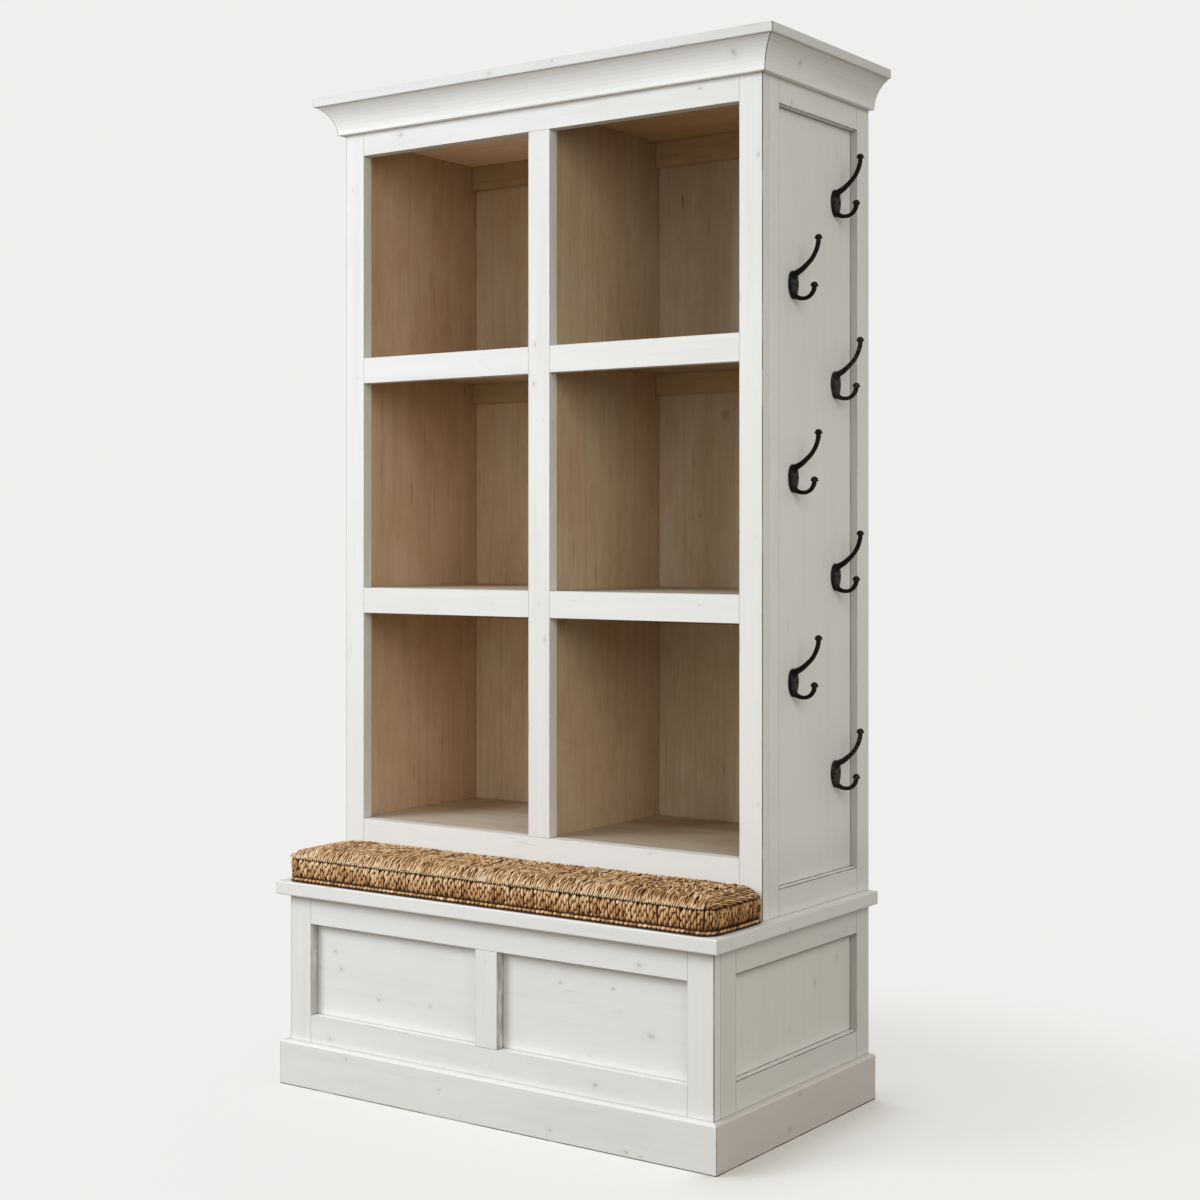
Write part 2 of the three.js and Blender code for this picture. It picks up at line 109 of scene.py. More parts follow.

# Painted light and shade on the inner boards: how much each differs from that wood, left of the unit's middle
# and right of it
# Boards with heavy whitewash patches, and painted light towards their front edge
WASHED_AND_FRONT_LIT = ("tower_floor", "shelf_lower", "shelf_upper")
WOOD_LIGHT_AND_SHADE = {
    "tower_side_board": ((0.985, 0.985, 0.95),) * 2,
    "base_partition": ((0.85, 0.905, 0.905),) * 2,
    "tower_partition": ((0.85, 0.905, 0.905),) * 2,
    "base_back": ((1.13, 1.33, 1.46),) * 2,
    "tower_back": ((1.43, 1.62, 1.75), (1.13, 1.33, 1.46)),
    "base_floor": ((1.06, 1.04, 0.93),) * 2,
    "tower_ceiling": ((1.71, 1.92, 2.15), (1.06, 1.04, 0.93)),
    "cleat": ((1.05, 1.08, 0.95),) * 2,
    **dict.fromkeys(WASHED_AND_FRONT_LIT, ((0.87, 0.95, 0.99), (0.68, 0.73, 0.72))),
}
# How far back from its front edge a floor's or shelf's painted light reaches
FRONT_LIGHT_REACH = 230 * MM

# Painted shade towards the top: heights between which a tone changes, and its share above them: inner boards,
# then white paint
INNER_TOP_SHADE_FROM_TO, INNER_TOP_SHADE_SHARE = (1.35, 1.62), 0.875
WHITE_TOP_SHADE_FROM_TO, WHITE_TOP_SHADE_SHARE = (1.05, 1.95), 0.885

# Heights between which the tower's sides leave their painted lower shade for their painted light
LOW_FROM_TO = (0.455, 0.56)


# Shader building

def of_two(operation):
    return lambda self, other: self.shader.math(operation, self, other)


class Output:
    """A node's output. Where it is a number, it takes part in sums as a plain number does."""

    def __init__(self, shader, socket):
        self.shader, self.socket = shader, socket

    __add__, __sub__, __mul__ = of_two("ADD"), of_two("SUBTRACT"), of_two("MULTIPLY")
    __gt__, __lt__ = of_two("GREATER_THAN"), of_two("LESS_THAN")

    def __rsub__(self, other):
        return self.shader.math("SUBTRACT", other, self)

    def __abs__(self):
        return self.shader.math("ABSOLUTE", self)


class Shader:
    """Adds nodes to a new material or world. A value may be a number, a colour, a vector or an output."""

    def __init__(self, owner):
        self.owner = owner
        owner.use_nodes = True
        self.tree = owner.node_tree
        self.tree.nodes.clear()

    def node(self, kind, values=None, **settings):
        node = self.tree.nodes.new("ShaderNode" + kind)
        for key, value in settings.items():
            setattr(node, key, value)
        for key, value in (values or {}).items():
            socket = node.inputs[key]
            if isinstance(value, Output):
                self.tree.links.new(value.socket, socket)
            else:
                socket.default_value = (*value, 1.0) if socket.type == "RGBA" else value
        return node

    def output(self, kind, values=None, name=0, **settings):
        return Output(self, self.node(kind, values, **settings).outputs[name])

    def math(self, operation, *values):
        return self.output("Math", dict(enumerate(values)), operation=operation)

    def vector(self, operation, *values):
        name = "Value" if operation in ("LENGTH", "DISTANCE", "DOT_PRODUCT") else "Vector"
        return self.output("VectorMath", dict(enumerate(values)), name, operation=operation)

    def noise(self, place, detail=2.0, roughness=0.5, distortion=0.0):
        return self.output("TexNoise", {"Vector": place, "Scale": 1.0, "Detail": detail,
                                        "Roughness": roughness, "Distortion": distortion})

    def even_noise(self, place, cycles, *form):
        """Noise of the same size in all directions, in cycles per metre."""
        return self.noise(self.vector("MULTIPLY", place, (cycles,) * 3), *form)

    def step(self, value, low, high, start=0.0, end=1.0):
        values = {"Value": value, "From Min": low, "From Max": high, "To Min": start, "To Max": end}
        return self.output("MapRange", values, interpolation_type="SMOOTHSTEP")

    def mix(self, factor, first, second):
        return self.output("MixRGB", {"Fac": factor, "Color1": first, "Color2": second})

    def place(self):
        return self.output("TexCoord", name="Object")

    def parts(self, place):
        return [Output(self, part) for part in self.node("SeparateXYZ", {"Vector": place}).outputs]

    def openness(self, reach, samples=4):
        return self.output("AmbientOcclusion", {"Distance": reach}, "AO", samples=samples)

    def bump(self, height, distance, **more):
        return self.output("Bump", {"Height": height, "Distance": distance, "Strength": 1.0, **more})

    def surface(self, values):
        self.node("OutputMaterial", {"Surface": self.output("BsdfPrincipled", values)})
        return self.owner


def new_shader(name):
    return Shader(bpy.data.materials.new(name))


def give(item, material):
    item.data.materials.clear()
    item.data.materials.append(material)


def add_object(name, data, material=None):
    item = bpy.data.objects.new(name, data)
    bpy.context.scene.collection.objects.link(item)
    if material:
        give(item, material)
    return item


# Camera, floor and light

def add_camera():
    data = bpy.data.cameras.new("camera")
    data.lens = CAMERA_LENS_MM
    data.sensor_width = CAMERA_SENSOR_MM
    data.shift_y = CAMERA_SHIFT_Y
    data.clip_end = 200
    camera = add_object("camera", data)
    camera.location = CAMERA_PLACE
    camera.rotation_euler = (math.radians(90), 0, math.radians(CAMERA_AZIMUTH))
    bpy.context.scene.camera = camera


def backdrop_seen(g):
    """1 for the rays that see the pale backdrop and not the light that falls on the object."""
    path = g.node("LightPath").outputs
    kinds = "Camera", "Glossy", "Transmission"
    camera, glossy, through = (Output(g, path[f"Is {kind} Ray"]) for kind in kinds)
    return g.math("MAXIMUM", camera, g.math("MAXIMUM", glossy, through))


def lamp_level(g, at, lamp):
    """How brightly a lamp lights an open white floor at a point, on the scale of a rendered colour."""
    place, target, _, power, _ = lamp
    facing = (Vector(target) - Vector(place)).normalized()
    ray = g.vector("SUBTRACT", at, place)
    level = g.vector("DOT_PRODUCT", ray, tuple(facing)) * (power * place[2] / math.pi ** 2)
    return g.math("DIVIDE", level, g.math("POWER", g.vector("LENGTH", ray), 4.0))


def add_floor():
    """A floor that looks as pale as the backdrop and keeps a soft shadow beside the unit: the lamps' shadow
    near it, and a painted contact shadow along its right side.
    """
    mesh = bpy.data.meshes.new("floor")
    h = FLOOR_HALF
    mesh.from_pydata([(-h, -h, 0), (h, -h, 0), (h, h, 0), (-h, h, 0)], [], [(0, 1, 2, 3)])
    g = new_shader("floor")
    at = g.place()
    even = g.vector("DIVIDE", BACKDROP, lamp_level(g, at, KEY) + lamp_level(g, at, FILL) + AMBIENT[1])
    # Painted contact shadow where the floor beside the unit's right side is hidden
    beside = g.step(g.parts(at)[X], *CONTACT_SHADOW_FROM_TO)
    contact_shadow = beside * g.step(g.openness(CONTACT_SHADOW_REACH, 8), 0.4, 1.0, 1.0, 0.0)
    shade = g.mix(contact_shadow, PLAIN, CONTACT_SHADOW_COLOUR)
    shaded = g.output("BsdfDiffuse", {"Color": g.vector("MULTIPLY", even, shade)})
    plain = g.output("Emission", {"Color": g.vector("MULTIPLY", BACKDROP, shade)})
    share = g.step(g.vector("DISTANCE", at, SHADOW_MIDDLE), *SHADOW_FROM_TO, 1 - SHADOW_DEPTH, 1.0)
    shown = g.output("MixShader", {0: share, 1: shaded, 2: plain})
    lit = g.output("BsdfDiffuse", {"Color": FLOOR_COLOUR})
    g.node("OutputMaterial", {"Surface": g.output("MixShader", {0: backdrop_seen(g), 1: lit, 2: shown})})
    floor = add_object("floor", mesh, g.owner)


def add_lamp(name, lamp):
    place, target, size, power, colour = lamp
    data = bpy.data.lights.new(name, "AREA")
    data.shape = "SQUARE"
    data.size = size
    data.energy = power
    data.color = colour
    item = add_object(name, data)
    item.location = place
    item.rotation_euler = (Vector(place) - Vector(target)).to_track_quat("Z", "Y").to_euler()
    item.visible_camera = False


def add_light():
    add_lamp("key", KEY)
    add_lamp("fill", FILL)
    g = Shader(bpy.data.worlds.new("studio"))
    lit, shown = (g.output("Background", {"Color": colour}) for colour in (AMBIENT, BACKDROP))
    g.node("OutputWorld", {"Surface": g.output("MixShader", {0: backdrop_seen(g), 1: lit, 2: shown})})
    bpy.context.scene.world = g.owner
    bpy.context.scene.view_settings.view_transform = "Standard"


# Pine

# Knots that stand out, by board: place and radius in millimetres
KNOTS = {
    "tower_back": [(182, 283, 1352, 6), (120, 283, 1146, 4)],
    "tower_side_frame_right": [(502, -4, 1901, 5)],
    "tower_stile_right": [(494, -111, 1789, 4)],
    "crown_cove_right": [(525, -11, 1968, 5)],
    "crown_cap": [(-85, -160, 2002, 5), (68, -160, 2006, 4)],
    "crown_cove_front": [(457, -135, 1984, 5)],
    "tower_rail_top": [(-353, -111, 1922, 7), (370, -111, 1924, 4)],
    "tower_mullion": [(-12, -111, 1398, 5), (-9, -111, 1476, 4), (14, -111, 901, 4)],
    "base_rail_top": [(346, -275, 341, 5)],
    "base_panel_left": [(-399, -256, 273, 4), (-383, -256, 240, 4), (-284, -256, 192, 4),
                        (-153, -256, 197, 4)],
    "base_panel_right": [(158, -256, 282, 4), (277, -256, 286, 4), (358, -256, 213, 7)],
    "base_rail_bottom": [(-396, -275, 103, 5), (250, -275, 113, 6)],
    "plinth_front": [(-339, -290, 75, 4), (-102, -290, 52, 3), (160, -290, 20, 4), (328, -290, 10, 4),
                     (360, -290, 7, 3)],
    "base_side_board_right": [(488, 108, 258, 5), (488, 194, 292, 4), (488, 13, 190, 4)],
    "bench_top": [(522, -46, 388, 5)],
    "plinth_right": [(517, -1, 77, 4), (517, -37, 22, 5)],
}
FAINT_KNOT_SPACING = 0.65
FAINT_KNOT_MARGIN = 8 * MM

# Nearer than this, a point counts as lying on a face
ON_FACE = 0.05 * MM


class Pine(Shader):
    """One board's finish. Grain runs along one axis; in a side frame it turns in the rails."""

    def __init__(self, name, axis):
        super().__init__(bpy.data.materials.new("pine." + name))
        self.name, self.axis = name, axis
        self.low, self.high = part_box(name)
        self.rng = random.Random(name)
        self.at = self.place()
        self.coordinates = self.x, self.y, self.z = self.parts(self.at)
        self.shift = tuple(0.01 * self.rng.uniform(-50, 50) for _ in range(3))
        self.rail = None
        self.seams = []
        self.arris, self.soiled, self.chafed = 0.3, 0.8, 0.5
        self.worn = self.grained(60, 14, 3.0, 0.6)

    def line(self, distance, strength, width, start=-1.0, where=1.0):
        """Adds a brown line where a distance is small, broken up by the wear pattern: worn paint along edges
        and joints, and painted shade where it covers a shaded face.
        """
        value = self.step(distance, 0.6 * width, width, strength, 0.0) * where
        if start >= 0:
            value = value * (distance > start)
        self.seams.append(value * self.step(self.worn, 0.36, 0.56, 0.45, 1.0))

    def beyond(self, axis, span):
        """How far a point lies outside a span of one axis, below zero inside it."""
        value = self.coordinates[axis]
        return self.math("MAXIMUM", span[0] - value, value - span[1])

    def turn_in_rails(self, opening_y, opening_z, front_seam):
        """Finds the rails of a side frame: they lie between the stiles, over and under the opening."""
        y, z = self.y, self.z
        self.rail = (y > opening_y[0]) * (y < opening_y[1])
        level = self.math("MAXIMUM", z > opening_z[1], z < opening_z[0])
        upright = 1.0 - level
        gaps = [abs(y - edge) for edge in opening_y]
        self.seams.append(self.step(self.math("MINIMUM", *gaps), 0.3 * MM, 0.9 * MM, 0.65, 0.0) * level)
        self.line(self.beyond(Z, opening_z), 1.3, 2.4 * MM, ON_FACE, self.rail)
        self.line(y - opening_y[1], 0.85, 1.8 * MM, ON_FACE, upright)
        self.line(opening_y[0] - y, 0.45, 1.5 * MM, ON_FACE, upright)
        self.seams.append(self.step(y - self.low.y, 0.3 * MM, 1.0 * MM, front_seam, 0.0))
        # Painted shade on the rear stile's reveal face, which faces the front
        self.seams.append(self.step(gaps[1], 0.2 * MM, 0.4 * MM, 0.5, 0.0) * upright)

    def grained(self, across, along, *form):
        """Noise in cycles per metre, stretched along the grain."""
        scale = [along if axis == self.axis else across for axis in (X, Y, Z)]
        if self.rail is not None:
            scale = self.mix(self.rail, scale, (across, along, across))
        return self.noise(self.vector("MULTIPLY", self.vector("ADD", self.at, self.shift), scale), *form)

    def patterns(self, *forms):
        return [self.grained(*form) for form in forms]

    def limits(self, axis):
        """How far a point is from the nearer of the board's two ends along an axis."""
        value = self.coordinates[axis]
        return self.math("MINIMUM", value - self.low[axis], self.high[axis] - value)

    def edge_distance(self):
        """How far a point on a face is from the nearest arris: the middle one of its three distances."""
        a, b, c = (self.limits(axis) for axis in (X, Y, Z))
        low, high = self.math("MINIMUM", a, b), self.math("MAXIMUM", a, b)
        return self.math("MAXIMUM", low, self.math("MINIMUM", high, c))

    def knot(self, centre, radius):
        """A knot that goes into the board from the face it lies on, a little longer along the grain."""
        deep = min((X, Y, Z), key=lambda i: min(abs(centre[i] - self.low[i]), abs(centre[i] - self.high[i])))
        scale = [0.7 if axis == self.axis else 1.0 for axis in (X, Y, Z)]
        scale[deep] = 0.0
        apart = self.vector("MULTIPLY", self.vector("SUBTRACT", self.at, centre), scale)
        return self.vector("LENGTH", apart) + self.even_noise(self.at, 160) * (radius * MM)

    def all_knots(self):
        """The knots that stand out, then a few faint ones: place, radius and strength."""
        knots = [([v * MM for v in place], radius, 1.0) for *place, radius in KNOTS.get(self.name, [])]
        size = self.high - self.low
        thin = min((X, Y, Z), key=lambda axis: size[axis])
        for _ in range(int(size[self.axis] / FAINT_KNOT_SPACING) + 1):
            centre = [self.low[i] if i == thin else
                      self.rng.uniform(self.low[i] + FAINT_KNOT_MARGIN, self.high[i] - FAINT_KNOT_MARGIN)
                      for i in (X, Y, Z)]
            knots.append((centre, self.rng.uniform(1.6, 3.4), self.rng.uniform(0.25, 0.6)))
        return knots

    def with_knots(self, colour, *rings):
        """A colour with the knots over it; a ring holds two shares of a knot's radius, strength and tint."""
        for centre, radius, strength in self.all_knots():
            apart = self.knot(centre, radius)
            for start, end, share, tint in rings:
                ring = self.step(apart, start * radius * MM, end * radius * MM, share * strength, 0.0)
                colour = self.mix(ring, colour, tint)
        return colour

    def marked(self, colour, *marks):
        """A colour with patterns over it; each mark holds its pattern, two levels, strength and tint."""
        for pattern, low, high, strength, tint in marks:
            colour = self.mix(self.step(pattern, low, high, 0.0, strength), colour, tint)
        return colour

    def grime(self, reach, strength):
        """Painted shade: how much a point lies in a joint or an inner corner, from ambient occlusion."""
        return self.step(self.openness(reach), 0.3, 0.85, 1.0, 0.0) * strength

    def by_height(self, colour, heights, share):
        """A colour that turns darker between two heights: painted shade towards the top."""
        return self.vector("MULTIPLY", colour, self.step(self.z, *heights, 1.0, share))

    def white(self, streaks=0.42):
        streak, patch, fleck = self.patterns((42, 1.7, 4, 0.6, 0.3), (9, 3.4, 3, 0.6), (95, 9))
        colour = self.marked(WHITE, (streak, 0.48, 0.78, streaks, WHITE_STREAK),
                             (patch, 0.45, 0.72, 0.42, WHITE_THIN), (fleck, 0.70, 0.8, 0.26, WHITE_FLECK))
        colour = self.with_knots(colour, (1.0, 3.6, 0.4, WHITE_STREAK), (0.5, 1.6, 0.5, KNOT))
        edge = self.edge_distance()
        reach = self.step(self.worn, 0.55, 0.74) * (2.0 * MM)
        colour = self.mix(self.step(edge - reach, -0.4 * MM, 0.3 * MM, self.chafed, 0.0), colour, BARE_WOOD)
        colour = self.mix(self.step(edge, 0.2 * MM, 1.1 * MM, self.arris, 0.0), colour, BARE_WOOD)
        if "_rail_" in self.name or self.name in ("base_stile_middle", "tower_mullion"):
            self.seams.append(self.step(self.limits(self.axis), 0.3 * MM, 0.9 * MM, 0.6, 0.0))
        # Dark joints and worn lines, and painted shade on some faces
        for line in self.seams:
            colour = self.mix(line, colour, SEAM_AND_SHADE)
        # Painted shade in joints and inner corners
        return self.mix(self.grime(4 * MM, self.soiled), colour, CORNER_SHADE_COLOUR), streak * 0.8 + fleck * 0.35

    def natural(self):
        streak, figure, mottle = self.patterns((30, 1.1, 5, 0.62, 0.4), (9, 0.9, 3, 0.5, 1.2),
                                               (40, 17, 4, 0.65))
        fibre, fleck, patch, grain = self.patterns((300, 20), (120, 9), (6, 3, 3, 0.6),
                                                   (75, 2.4, 4, 0.7, 0.5))
        washed_and_front_lit = self.name.startswith(WASHED_AND_FRONT_LIT)
        colour = self.mix(self.step(streak, 0.28, 0.74, 0.24, 0.76), INNER_DARK, INNER_PALE)
        colour = self.mix(self.step(figure, 0.4, 0.65, 0.35, 0.85), colour, INNER)
        colour = self.marked(colour, (mottle, 0.42, 0.68, 0.55, INNER_DARK),
                             (fibre, 0.42, 0.7, 0.34, INNER_DARK),
                             (patch, 0.42, 0.66, 0.85 if washed_and_front_lit else 0.3, INNER_WASH_AND_LIGHT))
        # Painted light: paler towards the front edge, where more light comes in
        if washed_and_front_lit:
            front = self.step(self.y, self.low.y, self.low.y + FRONT_LIGHT_REACH, 0.75, 0.0)
            colour = self.mix(front, colour, INNER_WASH_AND_LIGHT)
        colour = self.marked(colour, (grain, 0.45, 0.75, 0.32, INNER_GRAIN),
                             (fleck, 0.68, 0.80, 0.6, INNER_FLECK_AND_SHADE))
        colour = self.with_knots(colour, (1.2, 2.4, 0.4, INNER_FLECK_AND_SHADE))
        # Painted light and shade, by board and by side of the unit's middle
        tone = self.mix(self.x > 0.0, *by_start(WOOD_LIGHT_AND_SHADE, self.name))
        # Painted shade towards the top
        colour = self.by_height(self.vector("MULTIPLY", colour, tone), INNER_TOP_SHADE_FROM_TO, INNER_TOP_SHADE_SHARE)
        colour = self.mix(self.step(self.edge_distance(), 0.5 * MM, 2.2 * MM, 0.3, 0.0), colour, INNER_FLECK_AND_SHADE)
        # Painted shade in joints and inner corners
        return self.mix(self.grime(7 * MM, 0.4), colour, INNER_FLECK_AND_SHADE), streak * 0.6 + fleck * 0.5

    def done(self, colour, height, roughness):
        rounded = self.output("Bevel", {"Radius": 1.1 * MM}, samples=4)
        gloss = self.step(height, 0.3, 0.9, roughness - 0.06, roughness + 0.08)
        return self.surface({"Base Color": colour, "Roughness": gloss,
                             "Normal": self.bump(height, 0.35 * MM, Normal=rounded)})


def by_start(table, name, otherwise=None):
    """What a table holds for a board, by the start of the board's name."""
    return next((value for start, value in table.items() if name.startswith(start)), otherwise)


# Boards with painted shade on a face or a line along an edge: axis, whether at its high end, strength, width
# in mm. The faces of the stiles and mullion that look into the openings get painted shade, the plinths a
# painted contact shadow along their foot, and the plinth sides also a line at their front corner.
EDGE_LINES_AND_SHADE = {
    "base_stile_left": [(X, True, 0.42, 0.5)],
    "base_stile_middle": [(X, True, 0.68, 0.5)],
    "tower_stile_left": [(X, True, 0.14, 0.5)],
    "tower_mullion": [(X, True, 0.14, 0.5)],
    "plinth_front": [(Z, False, 1.2, 2.4)],
    **dict.fromkeys(PLINTH_SIDES, [(Z, False, 1.5, 3.0), (Y, False, 0.6, 2.0)]),
}


def white_board(name):
    board = Pine(name, grain_axis(name))
    x, y, z = board.coordinates
    # Painted shade on the plinths' sides, the crown's cap and the base's side boards
    tone = by_start(PAINT_SHADE_TONES, name, PLAIN)
    # Painted shade on reveal faces, and painted contact shadow at the plinths' foot
    for across, high, strength, width in EDGE_LINES_AND_SHADE.get(name, []):
        value = board.coordinates[across]
        board.line(board.high[across] - value if high else value - board.low[across], strength, width * MM)
    if name.endswith(("stile_left", "stile_right", "cap")):
        ends = max(abs(board.low.x), abs(board.high.x)) - abs(x)
        board.line(y - board.low.y + ends * 4.0, 1.3, 3.4 * MM)
    if name.startswith("crown_cove"):
        low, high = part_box("tower_stile_right")
        board.line(abs(abs(x) - high.x - (low.y - y)), 1.2, 1.6 * MM)
    if name.startswith("crown"):
        # Less painted corner shade and less edge wear on the crown
        board.soiled, board.chafed, board.arris = 0.3, 0.2, 0.1
        # Painted light on the crown's undersides, which face down into shade
        tone = board.mix(z - board.low.z < ON_FACE, tone, CROWN_UNDER_LIGHT)
    sunk = name.startswith("base_side_board")
    if sunk:
        panel_line(board)
    colour, height = board.white(0.2 if sunk else 0.42)
    if not name.startswith("crown"):
        # Painted shade towards the top
        colour = board.by_height(colour, WHITE_TOP_SHADE_FROM_TO, WHITE_TOP_SHADE_SHARE)
    return board.done(board.vector("MULTIPLY", colour, tone), height, 0.56)


def inner_board(name):
    board = Pine(name, grain_axis(name))
    return board.done(*board.natural(), 0.66)


def frame_lines(name, axis):
    """The two limits of a side frame's opening along an axis."""
    values = sorted({round(v.co[axis], 5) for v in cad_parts[name].data.vertices})
    return values[1], values[-2]


def panel_line(board):
    """The line where a side board meets the frame over it."""
    over = board.name.replace("board", "frame")
    apart = board.math("MAXIMUM", *(board.beyond(axis, frame_lines(over, axis)) for axis in (Y, Z)))
    board.line(abs(apart), 0.9, 2.0 * MM)


def tower_side_tone(board):
    """Painted light and shade on the tower's sides: a little brighter, and darker near the bench and near the
    crown.
    """
    low = board.step(board.z, *LOW_FROM_TO, 1.0, 0.0)
    return board.by_height(board.mix(low, TOWER_SIDE_LIGHT, TOWER_SIDE_LOW_SHADE), WHITE_TOP_SHADE_FROM_TO, WHITE_TOP_SHADE_SHARE)


def side_board(name):
    """Painted outside and natural inside the cubbies."""
    board = Pine(name, Z)
    panel_line(board)
    outside, height = board.white(0.25)
    # Painted light and shade on the tower's side
    outside = board.vector("MULTIPLY", outside, tower_side_tone(board))
    inner_face = min(board.low.x, board.high.x, key=abs)
    painted = abs(board.x - inner_face) > 1 * MM
    return board.done(board.mix(painted, board.natural()[0], outside), height, 0.58)


def side_frame(name):
    board = Pine(name, Z)
    base = name.startswith("base")
    if base:
        board.arris = 0.75
    board.turn_in_rails(frame_lines(name, Y), frame_lines(name, Z), 0.9 if base else 0.0)
    colour, height = board.white(0.3)
    # Painted shade on the base's side frames, painted light and shade on the tower's
    tone = BASE_FRAME_SHADE if base else tower_side_tone(board)
    return board.done(board.vector("MULTIPLY", colour, tone), height, 0.56)


def grain_axis(name):
    """Grain runs along a board, but it is upright in the base's sides, back and partition."""
    if name.startswith(("base_side", "base_back", "base_partition")):
        return Z
    low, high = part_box(name)
    return max((X, Y, Z), key=lambda axis: high[axis] - low[axis])


def paint_boards():
    for name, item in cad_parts.items():
        if name.startswith("tower_side_board"):
            give(item, side_board(name))
        elif "side_frame" in name:
            give(item, side_frame(name))
        elif by_start(WOOD_LIGHT_AND_SHADE, name):
            give(item, inner_board(name))
        elif not name.startswith(("coat_hook", "seat_cushion")):
            give(item, white_board(name))


# Swept forms, shared by the pad's cords and the hooks

def frames_along(path, up):
    """Unit vectors along a path, towards up, and across both."""
    ahead = np.gradient(path, axis=0)
    ahead /= np.linalg.norm(ahead, axis=1)[:, None]
    across = np.cross(ahead, np.broadcast_to(up, path.shape))
    across /= np.linalg.norm(across, axis=1)[:, None]
    return ahead, np.cross(across, ahead), across


def lengths_along(path):
    gaps = np.linalg.norm(np.diff(path, axis=0), axis=1)
    return np.concatenate([[0], np.cumsum(gaps)])


PLIES = 2
# Painted highlight and shade on the strands: how much paler the crown of a strand is than its flanks
STRAND_HIGHLIGHT = 0.17
LEAF_HIGHLIGHT = 0.36
LEAF_RINGS, LEAF_SIDES = 8, 8


class Strands:
    """Collects tubes for one mesh, with a tint and the length along the tube on every point."""

    def __init__(self):
        self.points, self.faces, self.tints, self.lengths, self.count = [], [], [], [], 0

    def tube(self, centre, first, second, wide, thick, sides, tint, length, ridges=1.0, closed=False,
             crown=0.0):
        """Rings of points round a centreline; wide and thick are half sizes along first and second.

        With a crown the tint is paler on the side that first points to, and darker round from it, as a
        painted highlight and painted shade.
        """
        rings = len(centre)
        angle = np.arange(sides) * 2 * math.pi / sides
        points = centre[:, None, :]
        for turned, size, way in ((np.cos(angle), wide, first), (np.sin(angle), thick, second)):
            size = np.broadcast_to(size, rings)[:, None, None]
            points = points + (turned * ridges)[None, :, None] * size * way[:, None, :]
        self.points.append(points.reshape(-1, 3))
        last = rings if closed else rings - 1
        i, j = np.meshgrid(np.arange(last), np.arange(sides), indexing="ij")
        next_i, next_j = (i + 1) % rings, (j + 1) % sides
        quads = np.stack([i * sides + j, i * sides + next_j, next_i * sides + next_j, next_i * sides + j], -1)
        self.faces.extend((quads.reshape(-1, 4) + self.count).tolist())
        if not closed:
            self.faces.append([self.count + k for k in reversed(range(sides))])
            self.faces.append([self.count + last * sides + k for k in range(sides)])
        # Painted highlight on the crown, painted shade on the flanks
        paler = np.tile(crown * (np.cos(angle) - 0.3), rings)
        self.tints.append(np.repeat(np.broadcast_to(tint, rings), sides) + paler)
        self.lengths.append(np.repeat(length, sides))
        self.count += rings * sides

    def twist(self, path, up, radius, pitch, rng, sides=6, tint=0.5, fade=0.0, closed=False):
        """A twisted cord: plies that wind round a path, each flattened and ridged as a rolled leaf is."""
        _, out, across = frames_along(path, up)
        length = lengths_along(path)
        if closed:
            whole = length[-1] + np.linalg.norm(path[0] - path[-1])
            pitch = whole / max(1, round(whole / pitch))
            _, out, across = frames_along(np.vstack([path[-1], path, path[0]]), up)
            out, across = out[1:-1], across[1:-1]
        start = rng.uniform(0, 2 * math.pi)
        radius = np.broadcast_to(radius, len(path))
        for ply in range(PLIES):
            turn = 2 * math.pi * (length / pitch + ply / PLIES) + start
            radial = np.cos(turn)[:, None] * out + np.sin(turn)[:, None] * across
            sideways = -np.sin(turn)[:, None] * out + np.cos(turn)[:, None] * across
            centre = path + radial * (radius * 0.5)[:, None]
            ridges = np.array([1 + rng.uniform(-0.14, 0.14) for _ in range(sides)])
            shade = tint + rng.gauss(0, 0.1) + fade
            self.tube(centre, radial, sideways, radius * 0.5, radius * 0.62, sides, shade, length, ridges,
                      closed, STRAND_HIGHLIGHT)

    def leaf(self, middle, along, out, half_length, wide, thick, tint, dive=1.6 * MM, bend=0.0):
        """A plump rolled leaf with pointed ends that dive in; bend bows it to one side."""
        t = np.linspace(-1, 1, LEAF_RINGS)
        out = np.array(out)
        along = np.array(along) / np.linalg.norm(along)
        aside = np.cross(along, out)
        path = (np.array(middle) + t[:, None] * half_length * along - (t ** 2 * dive)[:, None] * out
                + ((1 - t ** 2) * bend)[:, None] * aside)
        swell = np.maximum(1 - t ** 2, 0.03) ** 0.7
        first, second = np.tile(out, (LEAF_RINGS, 1)), np.tile(aside, (LEAF_RINGS, 1))
        # Tint darker towards the ends, where they dive in: painted shade
        self.tube(path, first, second, thick * swell, wide * swell, LEAF_SIDES, tint - 0.22 * t ** 4,
                  t * half_length + tint, crown=LEAF_HIGHLIGHT)

    def build(self, name, material, body):
        mesh = bpy.data.meshes.new(name)
        mesh.from_pydata(np.vstack(self.points).tolist(), [], self.faces)
        for key, values in (("tint", self.tints), ("along", self.lengths)):
            attribute = mesh.attributes.new(key, "FLOAT", "POINT")
            attribute.data.foreach_set("value", np.concatenate(values).astype(np.float32))
        mesh.shade_smooth()
        item = add_object(name, mesh, material)
        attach(item, body)


# Seat pad

